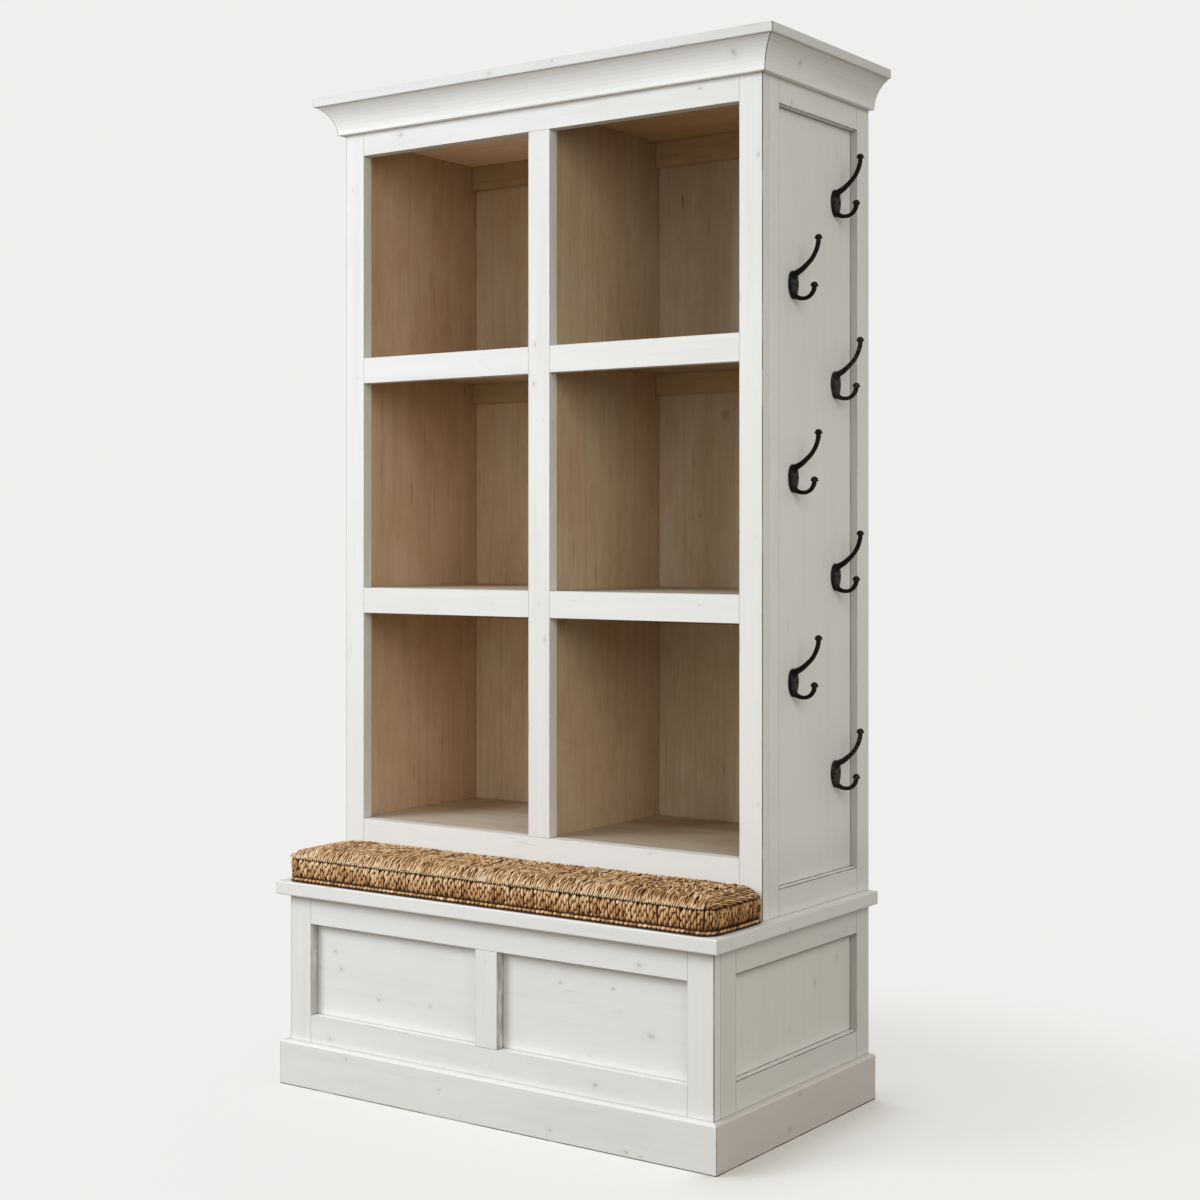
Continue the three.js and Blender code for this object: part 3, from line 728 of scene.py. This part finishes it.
PAD_LOW, PAD_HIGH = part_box("seat_cushion")
PAD_HALF_X = (PAD_HIGH.x - PAD_LOW.x) / 2
PAD_HALF_Y = (PAD_HIGH.y - PAD_LOW.y) / 2
PAD_MIDDLE_Y = (PAD_HIGH.y + PAD_LOW.y) / 2
PAD_BASE = PAD_LOW.z
UP = np.array((0, 0, 1))
PAD_FRONT_CORNER = 27 * MM
PAD_REAR_CORNER = 5 * MM
PAD_SEAM_HEIGHT = 47.0 * MM
PAD_TOP_HEIGHT = 69.4 * MM
PAD_ROLL = 27 * MM
PAD_END_ROLLS = (95 * MM, 38 * MM)
END_BULGE = 4 * MM
LEFT_DRAW = 3 * MM
REAR_SKEW = 4 * MM
# Painted shade on the pad's ends, and painted light that is brighter towards the left end: tint per unit of x
# over the half length
END_SHADE = -0.20
TOP_LIGHT_SLOPE = -0.07
SIDE_LIGHT_SLOPE = -0.06
SIDE_SPACING = 11.4 * MM
END_SPACING = 8.6 * MM
SIDE_SETBACK = 4.0 * MM
SIDE_BOTTOM = 8.5 * MM
TOP_SPACING = 4.7 * MM
TOP_LEAN = math.radians(10)
TOP_LEAF_COUNT = 1700
RIM_INSET = 2.6 * MM


def outline_runs(inset):
    """The pad's plan: four straights, each with the rounded corner after it, anticlockwise from the front."""
    hx, hy = PAD_HALF_X - inset, PAD_HALF_Y - inset
    front, rear = (max(r - inset, 3 * MM) for r in (PAD_FRONT_CORNER, PAD_REAR_CORNER))
    corners = [(hx, -hy, front), (hx, hy, rear), (-hx, hy, rear), (-hx, -hy, front)]
    runs = []
    for quarter in range(4):
        (bx, by, before), (cx, cy, r) = corners[quarter - 1], corners[quarter]
        heading = quarter * math.pi / 2
        along = (math.cos(heading), math.sin(heading))
        whole = abs((cx - bx) * along[0] + (cy - by) * along[1])
        runs.append(((bx + before * along[0], by + before * along[1]), along, whole - before - r, r))
    return runs


def outline_length(inset):
    return sum(straight + r * math.pi / 2 for _, _, straight, r in outline_runs(inset))


def pad_outline(distance, inset):
    """A point on the pad's outline, drawn in by inset, and the way out of the pad there."""
    distance %= outline_length(inset)
    for start, along, straight, r in outline_runs(inset):
        out = (along[1], -along[0])
        if distance <= straight:
            return (start[0] + distance * along[0], PAD_MIDDLE_Y + start[1] + distance * along[1]), out
        distance -= straight
        if distance <= r * math.pi / 2:
            break
        distance -= r * math.pi / 2
    turn = distance / r
    middle = [start[i] + straight * along[i] - r * out[i] for i in range(2)]
    out = [math.cos(turn) * out[i] + math.sin(turn) * along[i] for i in range(2)]
    return (middle[0] + r * out[0], PAD_MIDDLE_Y + middle[1] + r * out[1]), tuple(out)


def inside_distance(x, y):
    """How far a point of the plan lies inside the pad's outline."""
    r = PAD_FRONT_CORNER if y < PAD_MIDDLE_Y else PAD_REAR_CORNER
    ax = abs(x) - (PAD_HALF_X - r)
    ay = abs(y - PAD_MIDDLE_Y) - (PAD_HALF_Y - r)
    return r - math.hypot(max(ax, 0), max(ay, 0)) - min(max(ax, ay), 0)


def roll_share(inside, roll):
    rest = 1 - min(max((inside - 2.4 * MM) / roll, 0), 1)
    return math.sqrt(1 - rest ** 2)


def top_height(x, y):
    """Height of the top strands' middles: rolled up from the seam at the edges, more slowly at the ends."""
    end_roll = PAD_END_ROLLS[int(x > 0)]
    share = roll_share(inside_distance(x, y), PAD_ROLL) * roll_share(PAD_HALF_X - abs(x) + 3 * MM, end_roll)
    u, v = x / PAD_HALF_X, (y - PAD_MIDDLE_Y) / PAD_HALF_Y
    hills = 0.9 * MM * math.sin(9.1 * u + 1.3) * math.cos(2.2 * v + 5 * u)
    rise = PAD_TOP_HEIGHT - PAD_SEAM_HEIGHT - 2.6 * MM
    return PAD_BASE + PAD_SEAM_HEIGHT + (rise + hills) * share


def sideways_and_out(out):
    return np.array((-out[1], out[0], 0)), np.array((*out, 0))


def end_share(out):
    """0 on the pad's front and rear, 1 on its ends."""
    t = min(max((abs(out[0]) - 0.1) / 0.4, 0), 1)
    return t * t * (3 - 2 * t)


def side_leaves(strands, rng):
    """Upright pairs of strands round the sides, twisted so that plump turns of both lie side by side."""
    at, length = 0.0, outline_length(SIDE_SETBACK)
    low, high = PAD_BASE + SIDE_BOTTOM, PAD_BASE + PAD_SEAM_HEIGHT - 0.8 * MM
    while at < length - 0.5 * END_SPACING:
        (x, y), out = pad_outline(at, SIDE_SETBACK)
        end = end_share(out)
        spacing = SIDE_SPACING + (END_SPACING - SIDE_SPACING) * end
        aside, outward = sideways_and_out(out)
        pitch = rng.uniform(8.5, 12) * MM
        z = low - rng.uniform(0.2, 1.2) * pitch
        drift = rng.gauss(0, 0.03)
        # Painted shade on the ends, painted light brighter towards the left
        tone = rng.gauss(0.46, 0.07) + END_SHADE * end + SIDE_LIGHT_SLOPE * x / PAD_HALF_X
        turn = 0
        while z < high - 3 * MM:
            bottom, top = max(z - 0.1 * pitch, low), min(z + 2.1 * pitch, high)
            half, middle = (top - bottom) / 2, (top + bottom) / 2
            if half > 3.5 * MM:
                height = (middle - low) / (high - low)
                lean = rng.gauss(0.04, 0.06) + drift
                shift = (0.24 if turn % 2 else -0.24) * spacing + drift * (middle - low)
                shift += rng.gauss(0, 0.3 * MM)
                deep = rng.gauss(0, 0.4 * MM) - 2.4 * MM * (1 - height) ** 2
                place = np.array((x, y, middle)) + shift * aside + deep * outward
                # Tint rises with height: painted shade on the lower turns, painted light on the upper
                strands.leaf(place, lean * aside + UP, outward, half,
                             spacing * rng.uniform(0.24, 0.31), rng.uniform(3.2, 4.1) * MM,
                             tone + rng.gauss(0.0, 0.1) + 0.45 * (height - 0.55), bend=rng.gauss(0, 0.4 * MM))
            z += pitch
            turn += 1
        at += spacing * rng.uniform(0.9, 1.1)


# Steps along a top strand from either edge, fine where it rolls over the edge
ROLL_STEPS = [0.2, 0.6, 1.2, 2.2, 3.8, 6.2, 9.5, 13.5, 18.5]


def wave_at(waves, distance):
    return sum(rise * math.sin(2 * math.pi * distance / pitch + start) for rise, pitch, start in waves)


def top_strands(strands, rng):
    reach = 2 * PAD_HALF_Y
    near = [(step + 2.3) * MM for step in ROLL_STEPS]
    middle = np.linspace(near[-1], reach - near[-1], 29)[1:-1]
    depths = [*near, *middle, *(reach - d for d in reversed(near))]
    x = -PAD_HALF_X - 3 * MM
    while x < PAD_HALF_X + 2 * PAD_HALF_Y * math.tan(TOP_LEAN):
        lean = math.tan(TOP_LEAN + rng.gauss(0, math.radians(2.6)))
        wanders, dives = (
            [(rng.uniform(*rise) * MM, rng.uniform(*pitch) * MM, rng.uniform(0, 6.3)) for _ in range(2)]
            for rise, pitch in (((0.3, 1.3), (30, 100)), ((0.2, 0.7), (24, 60))))
        path = []
        for d in depths:
            px, py = x - lean * d + wave_at(wanders, d), PAD_MIDDLE_Y - PAD_HALF_Y + d
            if inside_distance(px, py) > 2.3 * MM:
                path.append((px, py, top_height(px, py) + wave_at(dives, d)))
        if len(path) > 5:
            path = np.array(path)
            gone = lengths_along(path)
            edge = np.minimum(gone, gone[-1] - gone)
            radius = rng.uniform(2.1, 3.0) * MM * np.minimum(1.0, 0.6 + edge / (7 * MM))
            fade = 0.36 * np.exp(-((edge / (14 * MM)) ** 2)) - 0.03
            # Painted light, brighter towards the left end
            strands.twist(path, (0, -0.25, 1), radius, rng.uniform(30, 58) * MM, rng,
                          tint=rng.gauss(0.56, 0.15) + TOP_LIGHT_SLOPE * x / PAD_HALF_X, fade=fade)
        x += TOP_SPACING * rng.uniform(0.75, 1.25)


def top_leaves(strands, rng):
    """Short leaf ends that shingle the top, over its strands."""
    for _ in range(TOP_LEAF_COUNT):
        x = rng.uniform(-0.985, 0.985) * PAD_HALF_X
        y = PAD_MIDDLE_Y + rng.uniform(-0.95, 0.95) * PAD_HALF_Y
        lean = TOP_LEAN + rng.gauss(math.radians(3), math.radians(11))
        half = rng.uniform(6, 14) * MM
        ends = [(x - t * math.sin(lean) * half, y + t * math.cos(lean) * half) for t in (-1, 1)]
        if min(inside_distance(*end) for end in ends) < 3.5 * MM:
            continue
        (x0, y0), (x1, y1) = ends
        z0, z1 = top_height(x0, y0), top_height(x1, y1)
        along = np.array((x1 - x0, y1 - y0, z1 - z0))
        out = np.cross(np.cross(along, UP), along)
        out /= np.linalg.norm(out)
        middle = np.array((x, y, top_height(x, y))) + rng.uniform(0.4, 1.5) * MM * out
        # Painted light, brighter towards the left end
        strands.leaf(middle, along, out, half, rng.uniform(1.3, 2.2) * MM, rng.uniform(1.3, 2.1) * MM,
                     rng.gauss(0.64, 0.19) + TOP_LIGHT_SLOPE * x / PAD_HALF_X,
                     dive=rng.uniform(1.4, 2.8) * MM, bend=rng.gauss(0, 0.8 * MM))


def rim_leaves(strands, rng):
    """The pale turned ends of the top's leaves, in a row along the seam."""
    at, length = 0.0, outline_length(0)
    while at < length - 3 * MM:
        (x, y), out = pad_outline(at, 0)
        end = end_share(out)
        if end < 0.95:
            aside, outward = sideways_and_out(out)
            up = 0.75 * outward + UP
            inward = UP - 0.9 * outward + rng.gauss(0.22, 0.2) * aside
            half = rng.uniform(4.5, 7.5) * MM
            middle = np.array((x, y, PAD_BASE + PAD_SEAM_HEIGHT)) + (half * 0.62 + 1.2 * MM) * inward / 1.3
            middle -= 2.2 * MM * outward * (1 - rng.uniform(0, 0.3))
            up -= inward * np.dot(up, inward) / np.dot(inward, inward)
            # Painted shade on the ends
            strands.leaf(middle, inward, up / np.linalg.norm(up), half, rng.uniform(2.0, 2.8) * MM,
                         rng.uniform(2.1, 2.8) * MM, rng.gauss(0.96, 0.14) + 0.5 * END_SHADE * end)
        at += rng.uniform(4.2, 5.6) * MM


def bulged(points):
    """Points of the pad, with its ends a little proud of their corners."""
    x, y = points[:, X], (points[:, Y] - PAD_MIDDLE_Y) / PAD_HALF_Y
    share = np.clip((np.abs(x) / PAD_HALF_X - 0.75) / 0.25, 0, 1) ** 2
    moved = points.copy()
    moved[:, X] += np.sign(x) * share * END_BULGE * np.maximum(1 - y ** 2, 0)
    moved[:, X] += np.where(x > 0, share * REAR_SKEW * (1 + y) / 2, share * LEFT_DRAW)
    return moved


def ring_path(height, inset, step, wave=0.0, wave_pitch=1.0):
    length = outline_length(inset)
    count = round(length / step)
    path = []
    for k in range(count):
        at = k * length / count
        (x, y), out = pad_outline(at, inset)
        shift = wave * math.sin(2 * math.pi * at / wave_pitch)
        path.append((x + shift * out[0], y + shift * out[1], PAD_BASE + height))
    return np.array(path)


def bottom_braid(strands, rng):
    """A row of pale leaf turns along the bottom edge, over a dark cord that rests on the bench as a painted
    contact shadow.
    """
    at, length = 0.0, outline_length(RIM_INSET)
    while at < length - 6 * MM:
        (x, y), out = pad_outline(at, RIM_INSET)
        # Painted shade on the ends
        tone = rng.gauss(0.38, 0.15) + 0.5 * END_SHADE * end_share(out)
        place = (x, y, PAD_BASE + rng.uniform(5.5, 6.1) * MM)
        along = (-out[1], out[0], rng.gauss(0.12, 0.08))
        strands.leaf(place, along, (*out, 0), rng.uniform(4.8, 7.0) * MM, 3.1 * MM, 2.4 * MM, tone,
                     dive=1.5 * MM)
        at += rng.uniform(8.5, 11) * MM
    # The dark cord: painted contact shadow under the braid
    path = ring_path(1.9 * MM, 1.9 * MM, 5 * MM)
    strands.twist(path, UP, 1.8 * MM, 30 * MM, rng, tint=-0.35, closed=True)


def seam_thread(strands, rng):
    """The dark stitched line under the top's rolled edge, thin along the ends."""
    path = ring_path(PAD_SEAM_HEIGHT - 0.2 * MM, RIM_INSET, 2.0 * MM, 0.6 * MM, 9 * MM)
    at_end = np.abs(path[:, X]) > PAD_HALF_X - 12 * MM
    strands.twist(path, UP, np.where(at_end, 0.5, 0.9) * MM, 9 * MM, rng, sides=5, tint=-0.25, closed=True)


def corner_cut(inset):
    """How far a front corner's arc lies behind the front edge, at a distance from the pad's end."""
    r = PAD_FRONT_CORNER
    return r - math.sqrt(r ** 2 - max(r - inset, 0) ** 2)


END_CORD_RINGS = 40
# Cords along both ends, in mm: distance from the end, rise over the seam or 0 for one on the top, and radius
END_CORDS = ((3.2, 3.4, 2.9), (5.8, 7.4, 2.5), (9.5, 0, 2.2), (13, 0, 2.1), (17, 0, 2.0), (21.5, 0, 1.9),
             (26, 0, 1.8))


def end_rolls(strands, rng):
    """Cords beside the top edge of both ends: two on the edge itself, then some on the rounded top."""
    shares, rings = np.linspace(0, 1, END_CORD_RINGS), np.arange(END_CORD_RINGS)
    thin = np.minimum(1.0, 0.3 + 0.14 * np.minimum(rings, rings[::-1]))
    for side, drawn_in in ((-1, 3), (1, 0)):
        for inset, rise, radius in END_CORDS:
            path = []
            wave = rng.uniform(0, 6)
            reach = PAD_HALF_Y - min((7 + 0.2 * inset) * MM, corner_cut(inset * MM) + 2.5 * MM)
            for t in shares:
                x = side * (PAD_HALF_X - (inset + drawn_in) * MM + 0.9 * MM * math.sin(11 * t + wave))
                y = PAD_MIDDLE_Y + (2 * t - 1) * reach
                if rise:
                    held = roll_share(PAD_HALF_Y - abs(y - PAD_MIDDLE_Y) + 2 * MM, 24 * MM)
                    z = PAD_BASE + PAD_SEAM_HEIGHT + rise * MM * held
                else:
                    z = top_height(x, y) + 1.2 * MM
                path.append((x, y, z))
            strands.twist(np.array(path), (side, 0, 0.6), radius * MM * thin, 40 * MM, rng,
                          tint=rng.gauss(0.52, 0.08))


# The cords' shades, from the darkest tint to the palest, at even steps
CORD_SHADES = ((0.050, 0.022, 0.008), (0.28, 0.13, 0.040), (0.62, 0.32, 0.128), (0.86, 0.565, 0.295),
               (1.0, 0.815, 0.57))
# Near-black colours of the pad's core: painted shade between the cords
CORE_SHADOW_COLOURS = ((0.022, 0.010, 0.004), (0.08, 0.040, 0.016))


def seagrass():
    g = new_shader("seagrass")
    tint, along = (g.output("Attribute", name="Fac", attribute_name=key) for key in ("tint", "along"))
    at = g.place()
    blotch = g.even_noise(at, 60, 3.0, 0.65)
    run = g.noise(g.output("CombineXYZ", {0: along * 60, 1: tint * 90}), 3.0, 0.6)
    fibre = g.even_noise(at, 700, 2.0, 0.6)
    shade = tint + (blotch - 0.5) * 0.55 + (run - 0.5) * 0.6 + (fibre - 0.5) * 0.35
    # Painted shade in the crevices between strands, from ambient occlusion
    ramp = g.node("ValToRGB", {"Fac": shade - g.step(g.openness(7 * MM), 0.15, 0.8, 0.5, 0.0)})
    stops = ramp.color_ramp.elements
    for _ in range(len(CORD_SHADES) - 2):
        stops.new(0.5)
    for i, colour in enumerate(CORD_SHADES):
        stops[i].position = i / (len(CORD_SHADES) - 1)
        stops[i].color = (*colour, 1.0)
    return g.surface({"Base Color": Output(g, ramp.outputs[0]), "Roughness": 0.55, "Specular IOR Level": 0.25,
                      "Normal": g.bump(fibre + run, 0.5 * MM)})


def pad_core_finish():
    g = new_shader("seagrass_core")
    weave = g.even_noise(g.place(), 260, 3.0, 0.6)
    colour = g.mix(weave, *CORE_SHADOW_COLOURS)
    return g.surface({"Base Color": colour, "Roughness": 0.9, "Normal": g.bump(weave, 1 * MM)})


CORE_SETBACK = 5.5 * MM


def pad_core():
    """The stuffing's cover, which shows only between the cords; its near-black colour is painted shade in the
    gaps.
    """
    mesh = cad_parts["seat_cushion"].data.copy()
    mesh.name = "pad_core"
    middle = (PAD_LOW + PAD_HIGH) / 2
    for vertex in mesh.vertices:
        co = vertex.co
        co.x = middle.x + (co.x - middle.x) * (1 - CORE_SETBACK / PAD_HALF_X)
        co.y = middle.y + (co.y - middle.y) * (1 - CORE_SETBACK / PAD_HALF_Y)
        share = (co.z - PAD_BASE) / (PAD_HIGH.z - PAD_BASE)
        co.z = PAD_BASE + 0.3 * MM + share * (PAD_TOP_HEIGHT - 6 * MM)
    mesh.shade_smooth()
    core = add_object("pad_core", mesh, pad_core_finish())
    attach(core, "cushion")
    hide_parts("seat_cushion")


def add_pad():
    pad_core()
    finish = seagrass()
    for make in (side_leaves, top_strands, top_leaves, rim_leaves, bottom_braid, seam_thread, end_rolls):
        name = "pad_" + make.__name__
        strands = Strands()
        make(strands, random.Random(name))
        strands.points = [bulged(points) for points in strands.points]
        strands.build(name, finish, "cushion")


# Coat hooks, standing out along +X from the plate's middle at the origin

PLATE_HEIGHT = 53 * MM
PLATE_WIDTH = 33.5 * MM
PLATE_THICKNESS = 5.5 * MM
PLATE_EGG_SHARE = 0.1
PLATE_LAYERS = [(0.0, 1.0), (0.45, 1.0), (0.75, 0.96), (0.92, 0.88), (1.0, 0.76), (1.06, 0.4), (1.08, 0.02)]
PLATE_SIDES = 40
PRONG_STEPS, PRONG_SIDES = 40, 18
ROOT_RADIUS = 6.5 * MM
FINIAL_RADIUS = 6.8 * MM
COLLAR_RADIUS = 7.5 * MM
COLLAR_HEIGHT = 2.4 * MM
REMESH_LOSS = 0.3 * MM
VOXEL = 0.65 * MM
SCREW_RADIUS, SCREW_DOME = 3.6 * MM, 2.1 * MM
SCREW_STEPS = 18
SCREW_SPACING = 18 * MM
SCREW_PLACE = (PLATE_THICKNESS * 0.93, SCREW_SPACING / 2, 1.5 * MM)
SLOT_DEPTH, SLOT_HALF_WIDTH, SLOT_REACH = 1.2 * MM, 0.5 * MM, 0.98
BRONZED_HOOKS = (3, 7)
IRON = (0.0016, 0.0016, 0.0015)
IRON_WORN = (0.0045, 0.0042, 0.0036)
IRON_RUBBED = (0.085, 0.055, 0.032)
PLAIN_SHARE, BRONZED_SHARE = 0.12, 0.75

# The long prong and the short one: how far out and up they go, shares of both along the prong, and shares of
# the root's radius
PRONGS = (
    (54.5 * MM, 85.5 * MM,
     [(0.03, 0.15), (0.14, 0.243), (0.34, 0.311), (0.57, 0.427), (0.77, 0.553), (0.92, 0.718), (0.99, 0.864),
      (1, 0.971)],
     [1, 0.9, 0.76, 0.67, 0.62, 0.62, 0.65, 0.68]),
    (46 * MM, 26.5 * MM,
     [(0.04, -0.64), (0.17, -0.85), (0.33, -0.965), (0.49, -1), (0.67, -0.96), (0.85, -0.775), (0.97, -0.47),
      (1, -0.15)],
     [0.9, 0.72, 0.58, 0.55, 0.55, 0.6, 0.66, 0.68]),
)


def smooth_curve(points, steps):
    """A Catmull-Rom curve through the points."""
    p = np.array([points[0], *points, points[-1]], float)
    found = []
    spans = len(points) - 1
    for i in range(steps + 1):
        t = i / steps * spans
        k = min(int(t), spans - 1)
        u = t - k
        a, b, c, d = p[k:k + 4]
        found.append(0.5 * (2 * b + (c - a) * u + (2 * a - 5 * b + 4 * c - d) * u ** 2
                            + (3 * b - a - 3 * c + d) * u ** 3))
    return np.array(found)


def lathe(strands, centre, axis, profile, sides=20):
    """A closed form turned about an axis; profile holds (radius, height) from one end to the other."""
    axis = np.array(axis) / np.linalg.norm(axis)
    first = np.cross(axis, (0, 1, 0))
    second = np.cross(axis, first)
    count = len(profile)
    heights = np.array([h for _, h in profile])
    radii = np.array([max(r, 0.02 * MM) for r, _ in profile])
    line = np.array(centre) + heights[:, None] * axis
    first, second = np.tile(-first, (count, 1)), np.tile(-second, (count, 1))
    strands.tube(line, first, second, radii, radii, sides, 0, heights)


def prongs_form(strands):
    """Both prongs of a hook with their collars and round ends."""
    for reach, rise, shares, radius_shares in PRONGS:
        path = smooth_curve([(out * reach, 0, up * rise) for out, up in shares], PRONG_STEPS)
        spread = np.linspace(0, len(shares) - 1, PRONG_STEPS + 1)
        radius = np.interp(spread, range(len(shares)), radius_shares) * ROOT_RADIUS + REMESH_LOSS
        _, out, across = frames_along(path, (0, 1, 0))
        strands.tube(path, out, across, radius, radius, PRONG_SIDES, 0, radius)
        neck, ball = radius[-1], FINIAL_RADIUS + REMESH_LOSS
        dome = [(ball * math.cos(a), ball * math.sin(a)) for a in np.linspace(0, math.pi / 2, 8)]
        rim = COLLAR_RADIUS + REMESH_LOSS
        collar = [(0, -COLLAR_HEIGHT), (neck, -COLLAR_HEIGHT), (rim, -0.5 * COLLAR_HEIGHT), (rim, 0)]
        lathe(strands, path[-1], path[-1] - path[-3], collar + dome)


def plate_form(strands):
    """The egg-shaped plate, domed a little towards the prongs."""
    count = len(PLATE_LAYERS)
    depths, shares = np.array(PLATE_LAYERS).T
    middles = np.outer(depths * PLATE_THICKNESS, (1, 0, 0))
    strands.tube(middles, np.tile((0, 1, 0), (count, 1)), np.tile((0, 0, 1), (count, 1)),
                 shares * PLATE_WIDTH / 2, shares * PLATE_HEIGHT / 2, PLATE_SIDES, 0, depths)
    egg = 1 + PLATE_EGG_SHARE * np.sin(np.arange(PLATE_SIDES) * 2 * math.pi / PLATE_SIDES)
    strands.points[-1][:, Y] *= np.tile(egg, count)


def cast_mesh():
    """One mesh for all hooks: the forms are fused by a fine remesh, which leaves the fillets of a casting."""
    strands = Strands()
    prongs_form(strands)
    plate_form(strands)
    mesh = bpy.data.meshes.new("hook_rough")
    mesh.from_pydata(np.vstack(strands.points).tolist(), [], strands.faces)
    rough = add_object("hook_rough", mesh)
    remesh = rough.modifiers.new("fuse", "REMESH")
    remesh.mode = "VOXEL"
    remesh.voxel_size = VOXEL
    soften = rough.modifiers.new("soften", "SMOOTH")
    soften.factor = 0.5
    soften.iterations = 4
    bpy.context.view_layer.update()
    done = bpy.data.meshes.new_from_object(rough.evaluated_get(bpy.context.evaluated_depsgraph_get()))
    bpy.data.objects.remove(rough)
    done.name = "coat_hook_cast"
    for vertex in done.vertices:
        vertex.co.x = max(vertex.co.x, 0.0)
    done.shade_smooth()
    return done


def screw_mesh():
    """A domed wood screw head with a slot."""
    across = SCREW_STEPS
    row = across + 1
    steps = [2 * i / across - 1 for i in range(row)]
    verts = []
    for a in steps:
        for b in steps:
            y = a * math.sqrt(1 - b * b / 2) * SCREW_RADIUS
            z = b * math.sqrt(1 - a * a / 2) * SCREW_RADIUS
            reach = min(1.0, math.hypot(y, z) / SCREW_RADIUS)
            cut = SLOT_DEPTH if abs(z) < SLOT_HALF_WIDTH and reach < SLOT_REACH else 0
            verts.append((SCREW_DOME * (1 - reach ** 2) - cut, y, z))
    faces = [[k, k + row, k + row + 1, k + 1] for k in range(row * across) if k % row < across]
    rim = [*range(row), *range(row + across, row * row, row)]
    rim += [*range(row * row - 2, across * row - 1, -1), *range((across - 1) * row, 0, -row)]
    first, count = len(verts), len(rim)
    verts += [(-1.5 * MM, verts[k][1], verts[k][2]) for k in rim]
    faces += [[rim[n], rim[(n + 1) % count], first + (n + 1) % count, first + n] for n in range(count)]
    faces.append([first + n for n in range(count)])
    mesh = bpy.data.meshes.new("screw_head")
    mesh.from_pydata(verts, [], faces)
    mesh.shade_smooth()
    return mesh


def iron(name, bronzed):
    """Blackened cast iron, rubbed back to brown on some of the hooks."""
    g = new_shader(name)
    at = g.place()
    cloud = g.even_noise(at, 70, 3.0, 0.6)
    marks = g.even_noise(at, 300, 3.0, 0.7)
    colour = g.mix(g.step(cloud, 0.35, 0.7), IRON, IRON_WORN)
    colour = g.mix(g.step(marks, 0.48, 0.62, 0.0, bronzed), colour, IRON_RUBBED)
    grit = g.even_noise(at, 900, 3.0, 0.6)
    return g.surface({"Base Color": colour, "Roughness": g.step(cloud, 0.3, 0.7, 0.46, 0.32),
                      "Specular IOR Level": 0.1, "Normal": g.bump(grit, 0.22 * MM)})


def plate_place(node):
    """The middle of a hook's plate, on the board behind it."""
    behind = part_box(node)[0].x
    rim = [v.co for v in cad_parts[node].data.vertices if v.co.x < behind + 0.1 * MM]
    middle = [(min(co[i] for co in rim) + max(co[i] for co in rim)) / 2 for i in (Y, Z)]
    return Vector((behind, *middle))


def add_hooks():
    cast, screw = cast_mesh(), screw_mesh()
    plain, rubbed = iron("cast_iron", PLAIN_SHARE), iron("cast_iron_rubbed", BRONZED_SHARE)
    for number in range(1, 8):
        node = f"coat_hook_{number}"
        finish = rubbed if number in BRONZED_HOOKS else plain
        hook = add_object(f"hook_{number}", cast.copy(), finish)
        hook.location = plate_place(node)
        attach(hook, "cabinet")
        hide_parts(node)
        for side, word in ((-1, "front"), (1, "rear")):
            head = add_object(f"hook_{number}_screw_{word}", screw.copy(), finish)
            depth, beside, rise = SCREW_PLACE
            head.location = hook.location + Vector((depth, side * beside, rise))
            head.rotation_euler = (math.radians(37 * number + 90 * side), 0, 0)
            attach(head, "cabinet")


add_camera()
add_floor()
add_light()
paint_boards()
add_pad()
add_hooks()
